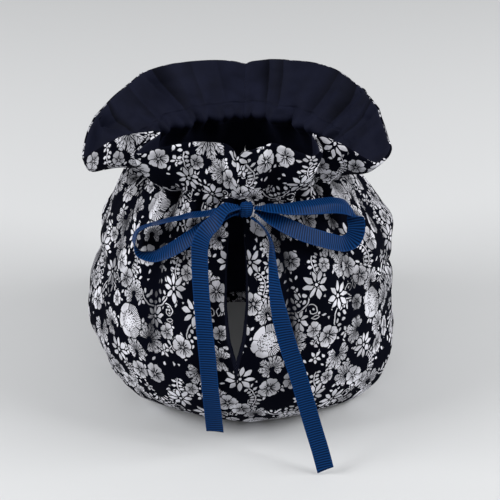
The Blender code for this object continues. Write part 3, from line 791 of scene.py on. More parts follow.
class Ribbon:
    """A ribbon along a route: its middle, the way across it and the way off its face."""

    def __init__(self, route, width, thickness, step, pinched_ends=(True, True)):
        route = np.array(route)
        rough = along(route[:, :3])
        count = max(FEWEST_POINTS, int(round(rough[-1] / step)) + 1)
        at = np.linspace(0, rough[-1], count)
        self.middle = np.stack([smooth_curve(rough, route[:, k], at) for k in range(3)], -1)
        across = np.stack([smooth_curve(rough, route[:, k], at) for k in range(3, 6)], -1)
        tangent = np.gradient(self.middle, at, axis=0)
        self.tangent = tangent / np.linalg.norm(tangent, axis=1, keepdims=True)
        across -= self.tangent * np.sum(across * self.tangent, axis=1, keepdims=True)
        self.across = across / np.linalg.norm(across, axis=1, keepdims=True)
        self.face = np.cross(self.tangent, self.across)
        self.at = along(self.middle)
        self.length = self.at[-1]
        self.thickness = thickness
        from_knot = np.full(count, PINCH_REACH)
        if pinched_ends[0]:
            from_knot = np.minimum(from_knot, self.at)
        if pinched_ends[1]:
            from_knot = np.minimum(from_knot, self.length - self.at)
        opened = ease(from_knot / PINCH_REACH)
        self.pinch = 1 - opened
        self.half_width = 0.5 * width * (RIBBON_PINCH + (1 - RIBBON_PINCH) * opened)

    def surface(self, shares, lift, cut_lean):
        """Two grids of points, one for each face. lift(share, self) moves both off the face."""
        faces = []
        lean = cut_lean * ease((self.at - self.length) / CUT_REACH + 1)
        for side in (1.0, -1.0):
            points = []
            for share in shares:
                past = (abs(share) - SELVEDGE_SHARE) / (1 - SELVEDGE_SHARE)
                edge = 1 - SELVEDGE_THINS * ease(past)
                height = lift(share, self) + side * 0.5 * self.thickness * edge
                points.append(self.middle + (share * self.half_width)[:, None] * self.across
                              + np.asarray(height)[..., None] * self.face
                              + (0.5 * share * lean)[:, None] * self.tangent)
            faces.append(np.stack(points, 1))
        return faces


def ribbon_piece(name, route, settings, lift, width=None, pinched_ends=(True, True),
                 cut_lean=0.0):
    """A length of the ribbon that replaces the CAD's, and the line it lies along."""
    width = width or settings.width / MM
    pitch = settings.rib_pitch / MM
    line = Ribbon(route, width, settings.thickness / MM, pitch / STEPS_A_RIB, pinched_ends)
    shares = np.sin(np.linspace(-0.5, 0.5, settings.columns) * math.pi)
    faces = line.surface(shares, lift, cut_lean)
    inside = 1 - ease((np.abs(shares) * 0.5 * width - SELVEDGE_FROM) / RIBS_FADE)
    ribs = 0.5 * settings.rib_height / MM * np.cos(2 * math.pi * line.at / pitch)
    raised = ribs[:, None, None] * inside[None, :, None] * line.face[:, None, :]
    u = np.broadcast_to(shares * 0.5 * width * MM, faces[0].shape[:2])
    v = np.broadcast_to(line.at[:, None] * MM, faces[0].shape[:2])
    mesh = sheet_mesh(name, to_metres(faces[0] + raised), to_metres(faces[1] - raised), u, v)
    thing = finish_piece(name, mesh, grosgrain(settings), name.replace("bow", "tie"))
    return thing, line


def knot_piece(settings):
    """The bow's middle: a turn of the ribbon, pleated lengthwise and drawn tight."""
    bm = bmesh.new()
    bmesh.ops.create_uvsphere(bm, u_segments=KNOT_SIDES, v_segments=KNOT_RINGS, radius=1.0)
    uv = bm.loops.layers.uv.new("flat")
    turn = {vert: math.atan2(vert.co.y, vert.co.x) for vert in bm.verts}
    share = {vert: vert.co.z for vert in bm.verts}
    length = KNOT_RIBS * settings.rib_pitch
    for face in bm.faces:
        face.smooth = True
        first = turn[face.loops[0].vert]
        for loop in face.loops:
            angle = first + math.remainder(turn[loop.vert] - first, 2 * math.pi)
            loop[uv].uv = (share[loop.vert] * KNOT_SPREAD * KNOT_HALF[0] * MM,
                           angle / (2 * math.pi) * length)
    for vert in bm.verts:
        angle, along_it = turn[vert], share[vert]
        girth = max(0.0, 1 - abs(along_it) ** KNOT_SQUARENESS) ** 0.5
        swing = KNOT_PLEAT_SWING * math.sin(angle)
        pleats = 1 + KNOT_PLEAT * math.cos(KNOT_PLEATS * math.tau * along_it + swing)
        waist = 1 - KNOT_WAIST * math.exp(-(along_it / KNOT_WAIST_REACH) ** 2)
        ribs = 0.5 * settings.rib_height / MM * math.cos(KNOT_RIBS * angle)
        lean = KNOT_LEAN * math.sin(angle) * girth
        out, up = (half * pleats * waist * girth + ribs for half in KNOT_HALF[1:])
        vert.co = to_metres((KNOT_CENTRE[0] + KNOT_HALF[0] * along_it + lean,
                             KNOT_CENTRE[1] - out * math.cos(angle),
                             KNOT_CENTRE[2] + up * math.sin(angle)))
    bmesh.ops.recalc_face_normals(bm, faces=bm.faces)
    mesh = bpy.data.meshes.new("bow_knot")
    bm.to_mesh(mesh)
    bm.free()
    return finish_piece("bow_knot", mesh, grosgrain(settings), "tie_knot")


def cupped(depth):
    """A lift that bows the ribbon across its width, and pleats it where it is pinched."""
    def lift(share, line):
        pleats = PLEAT_DEPTH * np.cos(PLEAT_COUNT * math.pi * share) * line.pinch
        return depth * (share * share - CUP_MIDDLE) * (1 - line.pinch) + pleats
    return lift


def creased(share, line):
    """As cupped, with a lengthwise crease along part of the ribbon."""
    starts = ease((line.at - CREASE_FROM) / CREASE_RUN)
    ends = ease((CREASE_TO - line.at) / CREASE_RUN)
    crease = CREASE_DEPTH * starts * ends * (abs(share) - 0.5)
    return cupped(CREASED_CUP)(share, line) + crease


# ---------------------------------------------------------------- shader maths

class Wire:
    """What varies over a surface: a node's socket. Its operators add Math or Vector Math nodes."""

    def __init__(self, paint, socket):
        self.paint, self.socket = paint, socket

    def math(self, operation, *values):
        arrows = any(isinstance(value, tuple) or isinstance(value, Wire) and
                     value.socket.type in ("VECTOR", "RGBA") for value in values)
        kind = "ShaderNodeVectorMath" if arrows else "ShaderNodeMath"
        return self.paint.node(kind, {"operation": operation}, *values)

    def __add__(self, other):
        return self.math("ADD", self, other)

    __radd__ = __add__

    def __sub__(self, other):
        return self.math("SUBTRACT", self, other)

    def __rsub__(self, other):
        return self.math("SUBTRACT", other, self)

    def __mul__(self, other):
        return self.math("MULTIPLY", self, other)

    __rmul__ = __mul__

    def __truediv__(self, other):
        return self.math("DIVIDE", self, other)

    def __pow__(self, other):
        return self.math("POWER", self, other)

    def __lt__(self, other):
        return self.math("LESS_THAN", self, other)

    def __gt__(self, other):
        return self.math("GREATER_THAN", self, other)

    def __abs__(self):
        return self.math("ABSOLUTE", self)

    def __neg__(self):
        return self.math("SUBTRACT", 0.0, self)

    def least(self, other):
        return self.math("MINIMUM", self, other)

    def most(self, other):
        return self.math("MAXIMUM", self, other)

    def within(self, low, high):
        return self.most(low).least(high)

    def fraction(self):
        return self.math("FRACT", self)

    def rounded(self):
        return self.math("ROUND", self)

    def sine(self):
        return self.math("SINE", self)

    def cosine(self):
        return self.math("COSINE", self)

    def length(self):
        return self.math("LENGTH", self)

    def beside(self, other):
        """The length of the vector whose parts are this and the other."""
        return (self * self + other * other) ** 0.5

    def parts(self):
        split = self.paint.add("ShaderNodeSeparateXYZ", {}, self)
        return [Wire(self.paint, socket) for socket in split.outputs]


class Paint:
    """A material under construction."""

    def __init__(self, name, **shader_values):
        self.material = bpy.data.materials.new(name)
        self.material.use_nodes = True
        self.tree = self.material.node_tree
        self.shader = self.tree.nodes["Principled BSDF"]
        for socket, value in shader_values.items():
            self.shader.inputs[socket.replace("_", " ")].default_value = value

    def add(self, kind, settings, *values, **named):
        """A node with its settings and the values or links of its sockets, in order or by name."""
        node = self.tree.nodes.new(kind)
        for key, value in settings.items():
            setattr(node, key, value)
        sockets = [socket for socket in node.inputs if socket.enabled]
        pairs = [*zip(sockets, values), *((node.inputs[key], named[key]) for key in named)]
        for socket, value in pairs:
            if isinstance(value, Wire):
                self.tree.links.new(value.socket, socket)
            else:
                socket.default_value = value
        return node

    def node(self, kind, settings, *values, output=None, **named):
        """As add, but gives what comes out of the node."""
        made = self.add(kind, settings, *values, **named)
        if output:
            return Wire(self, made.outputs[output])
        return Wire(self, next(socket for socket in made.outputs if socket.enabled))

    def mix(self, share, low, high, kind="VECTOR"):
        return self.node("ShaderNodeMix", {"data_type": kind}, share, low, high)

    def colour(self, share, low, high):
        return self.mix(share, (*low, 1.0), (*high, 1.0), "RGBA")

    def flat(self):
        """Where a point lies on the flat cloth, in millimetres."""
        metres = self.node("ShaderNodeUVMap", {"uv_map": "flat"})
        return metres * (1 / MM, 1 / MM, 0.0)

    def noise(self, at, scale, detail=1.0, output="Fac"):
        """Soft patches, from 0 to 1 about 0.5."""
        return self.node("ShaderNodeTexNoise", {"noise_dimensions": "2D"}, Vector=at,
                         Scale=scale, Detail=detail, output=output)

    def bump(self, height, depth, strength=1.0):
        """A relief: height, from 0 to 1, over a depth in metres."""
        normal = self.node("ShaderNodeBump", {}, Strength=strength, Distance=depth, Height=height)
        self.feed("Normal", normal)

    def feed(self, name, value):
        self.tree.links.new(value.socket, self.shader.inputs[name])


# ---------------------------------------------------------------- the print

REPEAT = (88.0, 76.0)        # the print's repeat, across and up
SOFT_EDGE = 0.12             # over which a printed edge fades
HALO = 0.85                  # bare ground kept round each motif
WOBBLE = 1.6                 # how far the print strays from true
LINE = 0.26                  # half width of a bare line inside a motif
UNEVEN = 2.4                 # turns a petal's number into a swing that looks uneven

# The motifs of one repeat. Columns: across, up, turn in degrees, size
DAISIES = (
    (50.0, 47.0, 10.0, 0.95),
    (67.0, 35.0, 40.0, 1.0),
    (2.0, 68.0, 0.0, 0.9),
    (36.0, 25.0, 20.0, 0.72),
)
BLOSSOMS = (
    (20.0, 60.0, 5.0, 0.92),
    (34.5, 64.0, 60.0, 0.85),
    (57.0, 11.0, 30.0, 0.92),
    (3.0, 41.0, 50.0, 0.85),
    (82.0, 49.0, 20.0, 0.88),
    (46.0, 18.0, 10.0, 0.66),
    (84.5, 24.0, 0.0, 0.68),
    (59.0, 58.0, 40.0, 0.62),
)
SPRAYS = (
    (66.0, 72.0, -80.0, 0.86),
    (31.0, 9.0, 35.0, 0.84),
    (20.0, 74.0, 100.0, 0.74),
    (82.0, 6.0, 160.0, 0.78),
    (13.0, 33.0, 110.0, 0.8),
    (75.0, 52.0, 125.0, 0.78),
)
POPPIES = (
    (14.0, 16.0, 15.0, 0.82),
)
ARCS = (
    (32.0, 43.0, -80.0, 0.95),
    (73.0, 19.0, 130.0, 0.85),
)
VINES = (
    (57.0, 0.0, 100.0, 0.85),
    (62.0, 60.0, 200.0, 0.85),
    (0.0, 52.0, 10.0, 0.8),
)
CURLS = (
    (46.0, 31.0, 0.0, 0.85),
    (79.0, 36.0, 80.0, 0.75),
    (11.0, 50.0, 140.0, 0.8),
)


def motif_place(paint, flat, rows):
    """A point's place in the nearest motif: along its axis, across it, distance and angle."""
    half = tuple(0.5 * side for side in REPEAT)
    nearest, distance = None, None
    for across, up, turn, size in rows:
        local = flat - (across, up, 0.0)
        local = paint.node("ShaderNodeVectorMath", {"operation": "WRAP"}, local,
                           (*half, 1.0), (-half[0], -half[1], -1.0))
        local = paint.node("ShaderNodeMapping", {"vector_type": "POINT"}, local,
                           Rotation=(0.0, 0.0, math.radians(-turn)),
                           Scale=(1 / size, 1 / size, 1.0))
        far = local.length()
        if nearest is None:
            nearest, distance = local, far
        else:
            nearest = paint.mix(far < distance, nearest, local)
            distance = far.least(distance)
    x, y, _ = nearest.parts()
    return x, y, distance, y.math("ARCTAN2", y, x)


def fold(angle, distance, step, most=None):
    """Repeats a sector of a flower: the place along and beside its middle, and its number."""
    number = (angle / step).rounded()
    if most is not None:
        number = number.within(-most, most)
    beside = angle - number * step
    return distance * beside.cosine(), abs(distance * beside.sine()), number


def lens(along_it, beside, middle, half_length, half_width):
    """Depth inside a pointed ellipse."""
    share = (along_it - middle) / half_length
    return (1 - share * share) * half_width - beside


def inside_sector(px, py, step):
    """Distance from the line between one sector and the next."""
    return px * math.sin(0.5 * step) - py * math.cos(0.5 * step)


# Each motif gives how deep a point lies inside its ink, and how bright the ink is there.

def daisy(paint, flat):
    """Eight pointed petals, each a little longer or shorter than the next."""
    petals = 8
    petal_middle = 6.0
    half_length = 3.6
    half_width = 1.6
    eye = 1.1
    *_, distance, angle = motif_place(paint, flat, DAISIES)
    px, py, number = fold(angle, distance, math.tau / petals)
    sway = (number * UNEVEN).sine()
    petal = lens(px, py, petal_middle + sway * 0.4, half_length, half_width + sway * 0.15)
    return petal.most(eye - distance), 1.0


def blossom(paint, flat):
    """Five broad lobed petals with fine rays, greyed towards the heart."""
    petals = 5
    lobe_middle = 5.3
    lobe_aside = 1.25
    lobe_radius = 2.3
    filled_to = 5.2
    heart_radius = 1.6
    ray_length = 4.8
    eye = 0.95
    *_, distance, angle = motif_place(paint, flat, BLOSSOMS)
    step = math.tau / petals
    px, py, number = fold(angle, distance, step)
    uneven = (number * UNEVEN).sine() * 0.25
    lobes = lobe_radius + uneven - (px - lobe_middle).beside(py - lobe_aside)
    petal = lobes.most(filled_to - px).least(inside_sector(px, py, step) - 0.32)
    _, beside_ray, _ = fold(angle, distance, step / 3)
    ray = (LINE - beside_ray).least(ray_length + (number * 5.1).sine() - distance)
    heart = (heart_radius - distance).most(ray)
    greyed = (paint.noise(flat, 0.035, 0.0) - 0.42) * 4
    tone = (distance * 0.06 + 0.46).most(greyed).within(0.46, 0.95)
    return petal.least(-heart).most(eye - distance), tone


def spray(paint, flat):
    """Seven toothed leaflets in a fan, each with its veins."""
    step = math.radians(41)
    leaflets_a_side = 3
    longest = 14.0
    half_width = 7.4
    tooth = 1.7
    tooth_count = 0.36
    *_, distance, angle = motif_place(paint, flat, SPRAYS)
    px, py, number = fold(angle, distance, step, leaflets_a_side)
    reach = longest - abs(number) * 1.6
    share = (px / reach).within(0.0, 1.0)
    teeth = (px * tooth_count - py * 0.34).fraction()
    width = share * (1 - share) ** 0.5 * half_width + (teeth - 0.6) * tooth
    leaflet = (width - py).least(reach - px).least(inside_sector(px, py, step) - 0.3)
    middle_vein = (LINE - py).least(0.8 * reach - px)
    side_vein = 0.34 - abs(((px - py * 1.25) * tooth_count).fraction() - 0.5) * 2.8
    side_vein = side_vein.least(width * 0.6 - py)
    tone = (share * 1.1 + 0.2).within(0.42, 1.0)
    return leaflet.least(-middle_vein).least(-side_vein), tone


def poppy(paint, flat):
    """A large round flower with a flecked middle and one hatched petal."""
    petals = 6
    lobe_middle = 6.6
    lobe_radius = 6.1
    petals_part_at = 8.0
    hatch_from = 7.6
    *_, distance, angle = motif_place(paint, flat, POPPIES)
    step = math.tau / petals
    px, py, number = fold(angle, distance, step)
    sway = (number * 3.3).sine()
    lobes = lobe_radius + sway * 0.7 - (px - lobe_middle - sway * 0.4).beside(py - 0.9)
    parted = (inside_sector(px, py, step) - LINE).most(petals_part_at - distance)
    petal = lobes.most(7.0 - distance).least(parted)
    flecks = (paint.noise(flat, 1.0, 1.0) - 0.30 - distance * 0.026) * 8
    hatch = (angle * 9).fraction() - 0.55
    hatch = hatch.least((distance - hatch_from) * 0.4).least(1.6 - abs(angle))
    return petal.least(flecks.most(distance - petals_part_at)).least(-hatch * 3), 1.0


def arc(paint, flat):
    """A curved stem with leaves outside its bend and buds inside it."""
    bend = 13.6
    half_angle = 1.25
    leaf_at = 10.6
    bud_at = 6.2
    *_, distance, angle = motif_place(paint, flat, ARCS)
    stem = (0.45 - abs(distance - bend)).least((half_angle - abs(angle)) * 13)
    px, py, number = fold(angle, distance, 0.40, 3)
    lean = (number * UNEVEN).sine()
    along_leaf = (px - leaf_at + lean * 0.6) / (1.2 + lean * 0.3)
    leaf = 1 - along_leaf.beside(py / (1.45 - lean * 0.3))
    px, py, number = fold(angle, distance, 0.78, 1)
    lean = (number * 1.7 + 0.6).sine()
    bud = 1 - ((px - bud_at + lean * 0.9) / 1.9).beside(py / 1.05)
    return stem.most(leaf).most(bud), 1.0


def vine(paint, flat):
    """A bent stem with pairs of small leaves."""
    bend = 15.0
    half_angle = 0.75
    leaf_step = 0.25
    *_, distance, angle = motif_place(paint, flat, VINES)
    stem = (0.4 - abs(distance - bend)).least((half_angle - abs(angle)) * bend)
    px, py, _ = fold(angle, distance, leaf_step, 3)
    leaf = lens(abs(px - bend), py, 2.6, 2.0, 1.05)
    return stem.most(leaf), 1.0


def curl(paint, flat):
    """A spiral tendril with two outlined leaves."""
    inner_radius = 2.0
    growth = 0.62
    outer_radius = 9.0
    x, y, distance, angle = motif_place(paint, flat, CURLS)
    spiral = 0.4 - abs(distance - inner_radius - (angle + math.pi) * growth)
    leaf = 0.32 - abs(lens(x, abs(y + 6.5), 2.0, 3.2, 1.5))
    tip = 0.9 - (x - 1.0).beside(y - 1.0)
    return spiral.most(leaf).most(tip).least(outer_radius - distance), 1.0


def scattered(paint, flat, spacing, spread):
    """Places one small motif in each cell of a net: its local point and three chances."""
    cell = paint.add("ShaderNodeTexVoronoi", {"voronoi_dimensions": "2D"}, Vector=flat,
                     Scale=1 / spacing, Randomness=spread)
    chances = Wire(paint, cell.outputs["Color"]).parts()
    local = flat - Wire(paint, cell.outputs["Position"])
    turned = paint.node("ShaderNodeVectorRotate", {"rotation_type": "Z_AXIS"}, local,
                        Angle=chances[0] * (2 * math.pi))
    x, y, _ = turned.parts()
    return x, y, chances


def seeds(paint, flat):
    """Small seeds and dots where there is room."""
    spacing = 5.2
    chance = 0.6
    x, y, (_, size, rare) = scattered(paint, flat, spacing, 0.7)
    patches = (paint.noise(flat, 0.06, 0.0) - 0.5) * 30
    seed = lens(x, abs(y), 0.0, 1.7, 0.85) * (size * 0.4 + 0.8) - (rare > chance) * 3
    return seed.least(patches), 1.0


def sprigs(paint, flat):
    """Small five-petalled flowers in some of the gaps."""
    spacing = 11.5
    chance = 0.26
    petals = 5
    x, y, (_, size, rare) = scattered(paint, flat, spacing, 0.6)
    distance = x.beside(y)
    px, py, _ = fold(y.math("ARCTAN2", y, x), distance, math.tau / petals)
    petal = lens(px, py, 2.6, 1.7, 0.95).most(0.55 - distance)
    return petal * (size * 0.4 + 0.75) - (rare > chance) * 3, 1.0


def printed_ink(paint):
    """The place on the cloth, and how bright the ink on it is, from 0 to 1. The motifs come from
    the one that lies under all others to the one that lies over them."""
    flat = paint.flat()
    wobble = paint.noise(flat, 0.22, 1.0, output="Color") - (0.5, 0.5, 0.5)
    flat = flat + wobble * (WOBBLE, WOBBLE, 0.0)
    ink = None
    for motif in (seeds, sprigs, curl, vine, arc, spray, daisy, blossom, poppy):
        depth, tone = motif(paint, flat)
        cover = (depth / SOFT_EDGE + 0.5).within(0.0, 1.0) * tone
        if ink is None:
            ink = cover
        else:
            room = ((-HALO - depth) / SOFT_EDGE + 0.5).within(0.0, 1.0)
            ink = (ink * room).most(cover)
    return flat, ink


# Painted shade on the print along the body's folds.
PRINT_TIE = 170.0            # the tie's height on the flat printed cloth
FOLD_DARK = 0.16             # share of the light that each millimetre of a fold's depth takes
FOLD_SHADE_REACH = 0.8       # of the fold's half width
SHADE_RUN = 0.25             # share of the body over which the shade reaches its full dark
SHADE_LEAD = 0.1             # share of the body by which it starts below its fold
SHADE_ABOVE_TIE = 0.2        # share of the body's height over which it ends above the tie
WEAVE_PITCH = 0.45           # of the plain weave
WEAVE_RELIEF = 0.00004       # in metres


def painted_fold_light(flat):
    """How much light the painted shade along the body's folds leaves on the print, from 0 to 1."""
    across, up, _ = flat.parts()
    climb = up / PRINT_TIE
    below = ((1 + SHADE_ABOVE_TIE - climb) / SHADE_ABOVE_TIE).within(0.0, 1.0)
    light = None
    for at_tie, at_belly, fold_depth, half_width, start in FOLDS:
        half = HALVES["left" if at_tie < 0 else "right"]
        degree = half.width / 180
        centre = (climb * (at_tie - at_belly) + (at_belly - FRONT_SEAM)) * degree
        away = abs(across - centre) / (half_width * degree * FOLD_SHADE_REACH)
        run = ((climb - start + SHADE_LEAD) / SHADE_RUN).within(0.0, 1.0)
        left = 1 - (1 - away).within(0.0, 1.0) * run * below * (fold_depth * FOLD_DARK)
        light = left if light is None else light * left
    return light


@functools.cache
def printed_cotton(settings):
    """Light flowers and leaves on dark navy, greyer in random patches, in a plain weave."""
    paint = Paint("printed cotton", Roughness=0.9, Specular_IOR_Level=0.02)
    flat, ink = printed_ink(paint)
    grey_patches = (paint.noise(flat, 0.06, 2.0) * 1.7 - 0.05).within(0.55, 1.0)
    # Painted shade: the ink is darkened along the body's folds.
    ink = ink * grey_patches * painted_fold_light(flat)
    paint.feed("Base Color", paint.colour(ink, settings.ground, settings.ink))
    across, up, _ = flat.parts()
    turns = math.tau / WEAVE_PITCH
    weave = (across * turns).sine() * (up * turns).sine() * 0.5 + 0.5
    paint.bump(weave, WEAVE_RELIEF, 0.5)
    return paint.material


# ---------------------------------------------------------------- plain finishes

# Painted shade beside each crease of the lining above the tie, on the flat cloth. Columns: place round
# the cosy at the tie, at the rim, how far the shade beside it reaches and which way, how dark
PAINTED_CREASE_SHADES = (
    (-198.0, -208.0, -7.0, 0.85),
    (-238.0, -243.0, 12.0, 0.40),
    (-275.0, -269.0, -14.0, 0.80),
    (-298.0, -300.0, 10.0, 0.40),
    (-321.0, -318.0, -9.0, 0.30),
    (300.0, 307.0, 8.0, 0.80),
    (286.0, 296.0, 8.0, 0.65),
    (252.0, 252.0, 11.0, 0.60),
    (222.0, 235.0, 14.0, 0.80),
    (190.0, 196.0, 7.0, 0.70),
)
LINING_TIE = 168.0           # the tie's height on the flat lining
LINING_RIM = 213.0
CREASE_SHADE_STARTS = 0.25         # share of the ruffle over which a crease's painted shade starts above the tie
CREASE_SHADE_EDGE = 0.5            # how soft the painted shade's edge at the crease is
TWILL_PITCH = 0.6            # of the lining's twill lines
TWILL_RELIEF = 0.00005       # in metres
SELVEDGE_TONE = 0.55         # from the ribbon's painted shade, 0, to its painted highlight, 1


def painted_crease_light(flat):
    """How much light the painted shade beside each crease leaves on the lining, from 0 to 1."""
    across, up, _ = flat.parts()
    climb = (up - LINING_TIE) / (LINING_RIM - LINING_TIE)
    light = None
    for at_tie, at_rim, reach, dark in PAINTED_CREASE_SHADES:
        away = (across - at_tie - climb * (at_rim - at_tie)) / reach
        shade = (1 - away).within(0.0, 1.0) * (away * abs(reach) + CREASE_SHADE_EDGE).within(0.0, 1.0)
        left = 1 - shade * (climb / CREASE_SHADE_STARTS).within(0.0, 1.0) * dark
        light = left if light is None else light * left
    return light


@functools.cache
def lining_cotton(settings):
    """Plain dark navy twill, a little mottled, with painted shade beside each crease."""
    paint = Paint("lining cotton", Roughness=0.7, Specular_IOR_Level=0.06)
    flat = paint.flat()
    # Painted shade: the mottled tone is darkened beside each crease above the tie.
    tone = (paint.noise(flat, 0.05, 2.0) + 0.35) * painted_crease_light(flat)
    colour = paint.colour(tone, settings.lining_shade, settings.lining_light)
    paint.feed("Base Color", colour)
    across, up, _ = flat.parts()
    twill = ((across + up) * (math.tau / TWILL_PITCH)).sine() * 0.5 + 0.5
    paint.bump(twill, TWILL_RELIEF, 0.6)
    return paint.material


@functools.cache
def grosgrain(settings):
    """Ribbed blue ribbon, with painted shade between its ribs and a painted highlight along them."""
    paint = Paint("grosgrain ribbon", Roughness=0.4, Specular_IOR_Level=0.05)
    across, along_it, _ = paint.flat().parts()
    rib = (along_it * (math.tau * MM / settings.rib_pitch)).cosine() * 0.5 + 0.5
    selvedge = (abs(across) > SELVEDGE_FROM) * SELVEDGE_TONE
    # Painted shade between the ribs and painted highlight along them; the selvedges, without ribs, keep
    # a tone between.
    paint.feed("Base Color", paint.colour(rib.most(selvedge), settings.shade, settings.light))
    return paint.material


# ---------------------------------------------------------------- the stage

FLOOR_SIZE = 6.0             # half its side, in metres
# The soft lights, in metres and watts. Columns: name, place, width, power
LIGHTS = (
    ("left", (-1.25, -0.30, 0.95), 0.8, 17.0),
    ("right", (1.25, -0.20, 0.95), 0.8, 17.5),
)
LIT_POINT = (0.0, 0.0, 0.08)


def look_along(thing, direction):
    """Turns a light or a camera to face a direction, with its top upwards."""
    thing.rotation_mode = "QUATERNION"
    thing.rotation_quaternion = direction.to_track_quat("-Z", "Y")


def put_floor(context, colour):
    """A plain floor, far wider than the view."""
    bm = bmesh.new()
    bmesh.ops.create_grid(bm, x_segments=1, y_segments=1, size=FLOOR_SIZE)
    mesh = bpy.data.meshes.new("floor")
    bm.to_mesh(mesh)
    bm.free()
    paint = Paint("floor", Roughness=0.9)
    paint.shader.inputs["Base Color"].default_value = (*colour, 1.0)
    mesh.materials.append(paint.material)
    floor = bpy.data.objects.new("floor", mesh)
    context.scene.collection.objects.link(floor)


def put_lights(context, sky):
    """Even light all round, and two soft lights from the sides."""
    world = bpy.data.worlds.new("world")
    world.use_nodes = True
    background = world.node_tree.nodes["Background"]
    background.inputs["Color"].default_value = (1.0, 1.0, 1.0, 1.0)
    background.inputs["Strength"].default_value = sky
    context.scene.world = world
    for name, place, width, power in LIGHTS:
        light = bpy.data.lights.new(name, "AREA")
        light.size, light.energy = width, power
        lamp = bpy.data.objects.new(name, light)
        lamp.location = place
        look_along(lamp, Vector(LIT_POINT) - Vector(place))
        context.scene.collection.objects.link(lamp)


def put_camera(context, settings):
    """A camera in front of the cosy, a little above it."""
    camera = bpy.data.objects.new("camera", bpy.data.cameras.new("camera"))
    context.scene.collection.objects.link(camera)
    back = Vector((0, -math.cos(settings.elevation), math.sin(settings.elevation)))
    camera.location = Vector(settings.target) + settings.distance * back
    look_along(camera, -back)
    camera.data.lens = settings.lens
    context.scene.camera = camera


# ---------------------------------------------------------------- settings, operators, panel

def count_property(name, description, default):
    """A whole number that the user can change."""
    return bpy.props.IntProperty(name=name, description=description, default=default, min=1)


def size_property(name, description, default):
    """A length that the user can change, in metres."""
    return bpy.props.FloatProperty(name=name, description=description, default=default,
                                   unit="LENGTH", precision=5)


def colour_property(name, description, default):
    """A colour that the user can change."""
    return bpy.props.FloatVectorProperty(name=name, description=description, default=default,
                                         subtype="COLOR", min=0.0, max=1.0)


class CosySettings(bpy.types.PropertyGroup):
    columns: count_property("Columns", "Columns of each printed half", 280)
    body_rows: count_property("Body rows", "Rows of the printed body", 88)
    ruffle_rows: count_property("Ruffle rows", "Rows of the ruffle", 34)
    lining_columns: count_property("Lining columns", "Columns of each lining", 220)
    lining_rows: count_property("Lining rows", "Rows of the lining's body", 60)
    ground: colour_property("Ground", "The printed cotton's ground", (0.0018, 0.0022, 0.0055))
    ink: colour_property("Ink", "The printed cotton's flowers", (0.77, 0.77, 0.83))
    # Between these the lining is mottled, and it nears the darkest in the painted shade beside each
    # crease.
    lining_shade: colour_property("Lining shade", "The lining's darkest colour", (0.0008, 0.001, 0.003))
    lining_light: colour_property("Lining light", "The lining's lightest colour", (0.0085, 0.01, 0.0235))


class RibbonSettings(bpy.types.PropertyGroup):
    width: size_property("Width", "Width of the ribbon", 0.0105)
    thickness: size_property("Thickness", "Thickness of the ribbon", 0.0006)
    rib_pitch: size_property("Rib pitch", "Distance between its ribs", 0.0016)
    rib_height: size_property("Rib height", "Height of a rib", 0.00014)
    columns: count_property("Columns", "Points across the ribbon", 13)
    # The ribbon's blue, as painted shade between its ribs and as a painted highlight along them.
    shade: colour_property("Shade", "Colour between its ribs", (0.0005, 0.006, 0.025))
    light: colour_property("Light", "Colour along its ribs", (0.004, 0.044, 0.168))


class StageSettings(bpy.types.PropertyGroup):
    elevation: bpy.props.FloatProperty(
        name="Elevation", description="Camera above the horizon", default=math.radians(30),
        subtype="ANGLE")
    distance: size_property("Distance", "Camera to its target", 0.8)
    target: bpy.props.FloatVectorProperty(
        name="Target", description="What the camera looks at", default=(0.005, 0.0, 0.085),
        subtype="TRANSLATION")
    lens: bpy.props.FloatProperty(
        name="Lens", description="Focal length in millimetres", default=87.3)
    floor: colour_property("Floor", "Colour of the floor", (0.66, 0.67, 0.68))
    sky: bpy.props.FloatProperty(
        name="Sky", description="Strength of the even light all round", default=0.42, min=0.0)


class COSY_OT_halves(bpy.types.Operator):
    """Make the two printed halves"""
    bl_idname = "cosy.halves"
    bl_label = "Printed halves"

    def execute(self, context):
        for side in HALVES:
            printed_half(side, context.scene.cosy_cloth)
        return {"FINISHED"}


class COSY_OT_linings(bpy.types.Operator):
    """Make the two linings"""
    bl_idname = "cosy.linings"
    bl_label = "Linings"

    def execute(self, context):
        for side in HALVES:
            lining_half(side, context.scene.cosy_cloth)
        return {"FINISHED"}


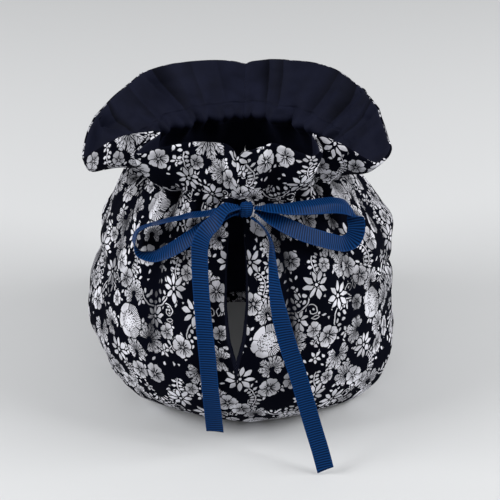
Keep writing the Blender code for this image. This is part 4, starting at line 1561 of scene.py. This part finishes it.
class COSY_OT_bow(bpy.types.Operator):
    """Make the bow: its knot, its two loops, its two tails and the ribbon's leads to the knot"""
    bl_idname = "cosy.bow"
    bl_label = "Bow"

    def execute(self, context):
        settings = context.scene.cosy_ribbon
        knot = knot_piece(settings)
        leads = [ribbon_piece(f"bow_lead_{side}", route, settings, cupped(LEAD_CUP), LEAD_WIDTH,
                              (False, False))[0]
                 for side, route in (("left", LEAD_LEFT), ("right", LEAD_RIGHT))]
        for side, route, lift in (("left", LOOP_LEFT, cupped(LOOP_CUP)),
                                  ("right", LOOP_RIGHT, creased)):
            loop, line = ribbon_piece(f"bow_loop_{side}", route, settings, lift)
        for side, route, lean, on_it in (("left", TAIL_LEFT, TAIL_CUT, [knot, *leads]),
                                         ("right", TAIL_RIGHT, -TAIL_CUT, [])):
            tail, line = ribbon_piece(f"bow_tail_{side}", route, settings, cupped(TAIL_CUP),
                                      pinched_ends=(True, False), cut_lean=lean)
        return {"FINISHED"}


class COSY_OT_stage(bpy.types.Operator):
    """Make the floor, the lights and the camera"""
    bl_idname = "cosy.stage"
    bl_label = "Stage"

    def execute(self, context):
        settings = context.scene.cosy_stage
        put_floor(context, settings.floor)
        put_lights(context, settings.sky)
        put_camera(context, settings)
        context.scene.view_settings.view_transform = "Standard"
        return {"FINISHED"}


class COSY_PT_panel(bpy.types.Panel):
    """Lists the cosy's sizes and colours, and what builds its pieces"""
    bl_label = "Tea cosy"
    bl_space_type = "VIEW_3D"
    bl_region_type = "UI"
    bl_category = "Cosy"

    def draw(self, context):
        for name, group in SETTINGS:
            for field in group.__annotations__:
                self.layout.prop(getattr(context.scene, name), field)
        for operator in OPERATORS:
            self.layout.operator(operator.bl_idname)


SETTINGS = (("cosy_cloth", CosySettings), ("cosy_ribbon", RibbonSettings),
            ("cosy_stage", StageSettings))
OPERATORS = (COSY_OT_stage, COSY_OT_bow, COSY_OT_halves, COSY_OT_linings)


def register():
    for name, group in SETTINGS:
        bpy.utils.register_class(group)
        setattr(bpy.types.Scene, name, bpy.props.PointerProperty(type=group))
    for kind in (*OPERATORS, COSY_PT_panel):
        bpy.utils.register_class(kind)


def unregister():
    for kind in (COSY_PT_panel, *reversed(OPERATORS)):
        bpy.utils.unregister_class(kind)
    for name, group in reversed(SETTINGS):
        delattr(bpy.types.Scene, name)
        bpy.utils.unregister_class(group)


def main():
    register()
    bpy.ops.cosy.stage()
    bpy.ops.cosy.bow()
    bpy.ops.cosy.halves()
    bpy.ops.cosy.linings()


if __name__ == "__main__":
    main()
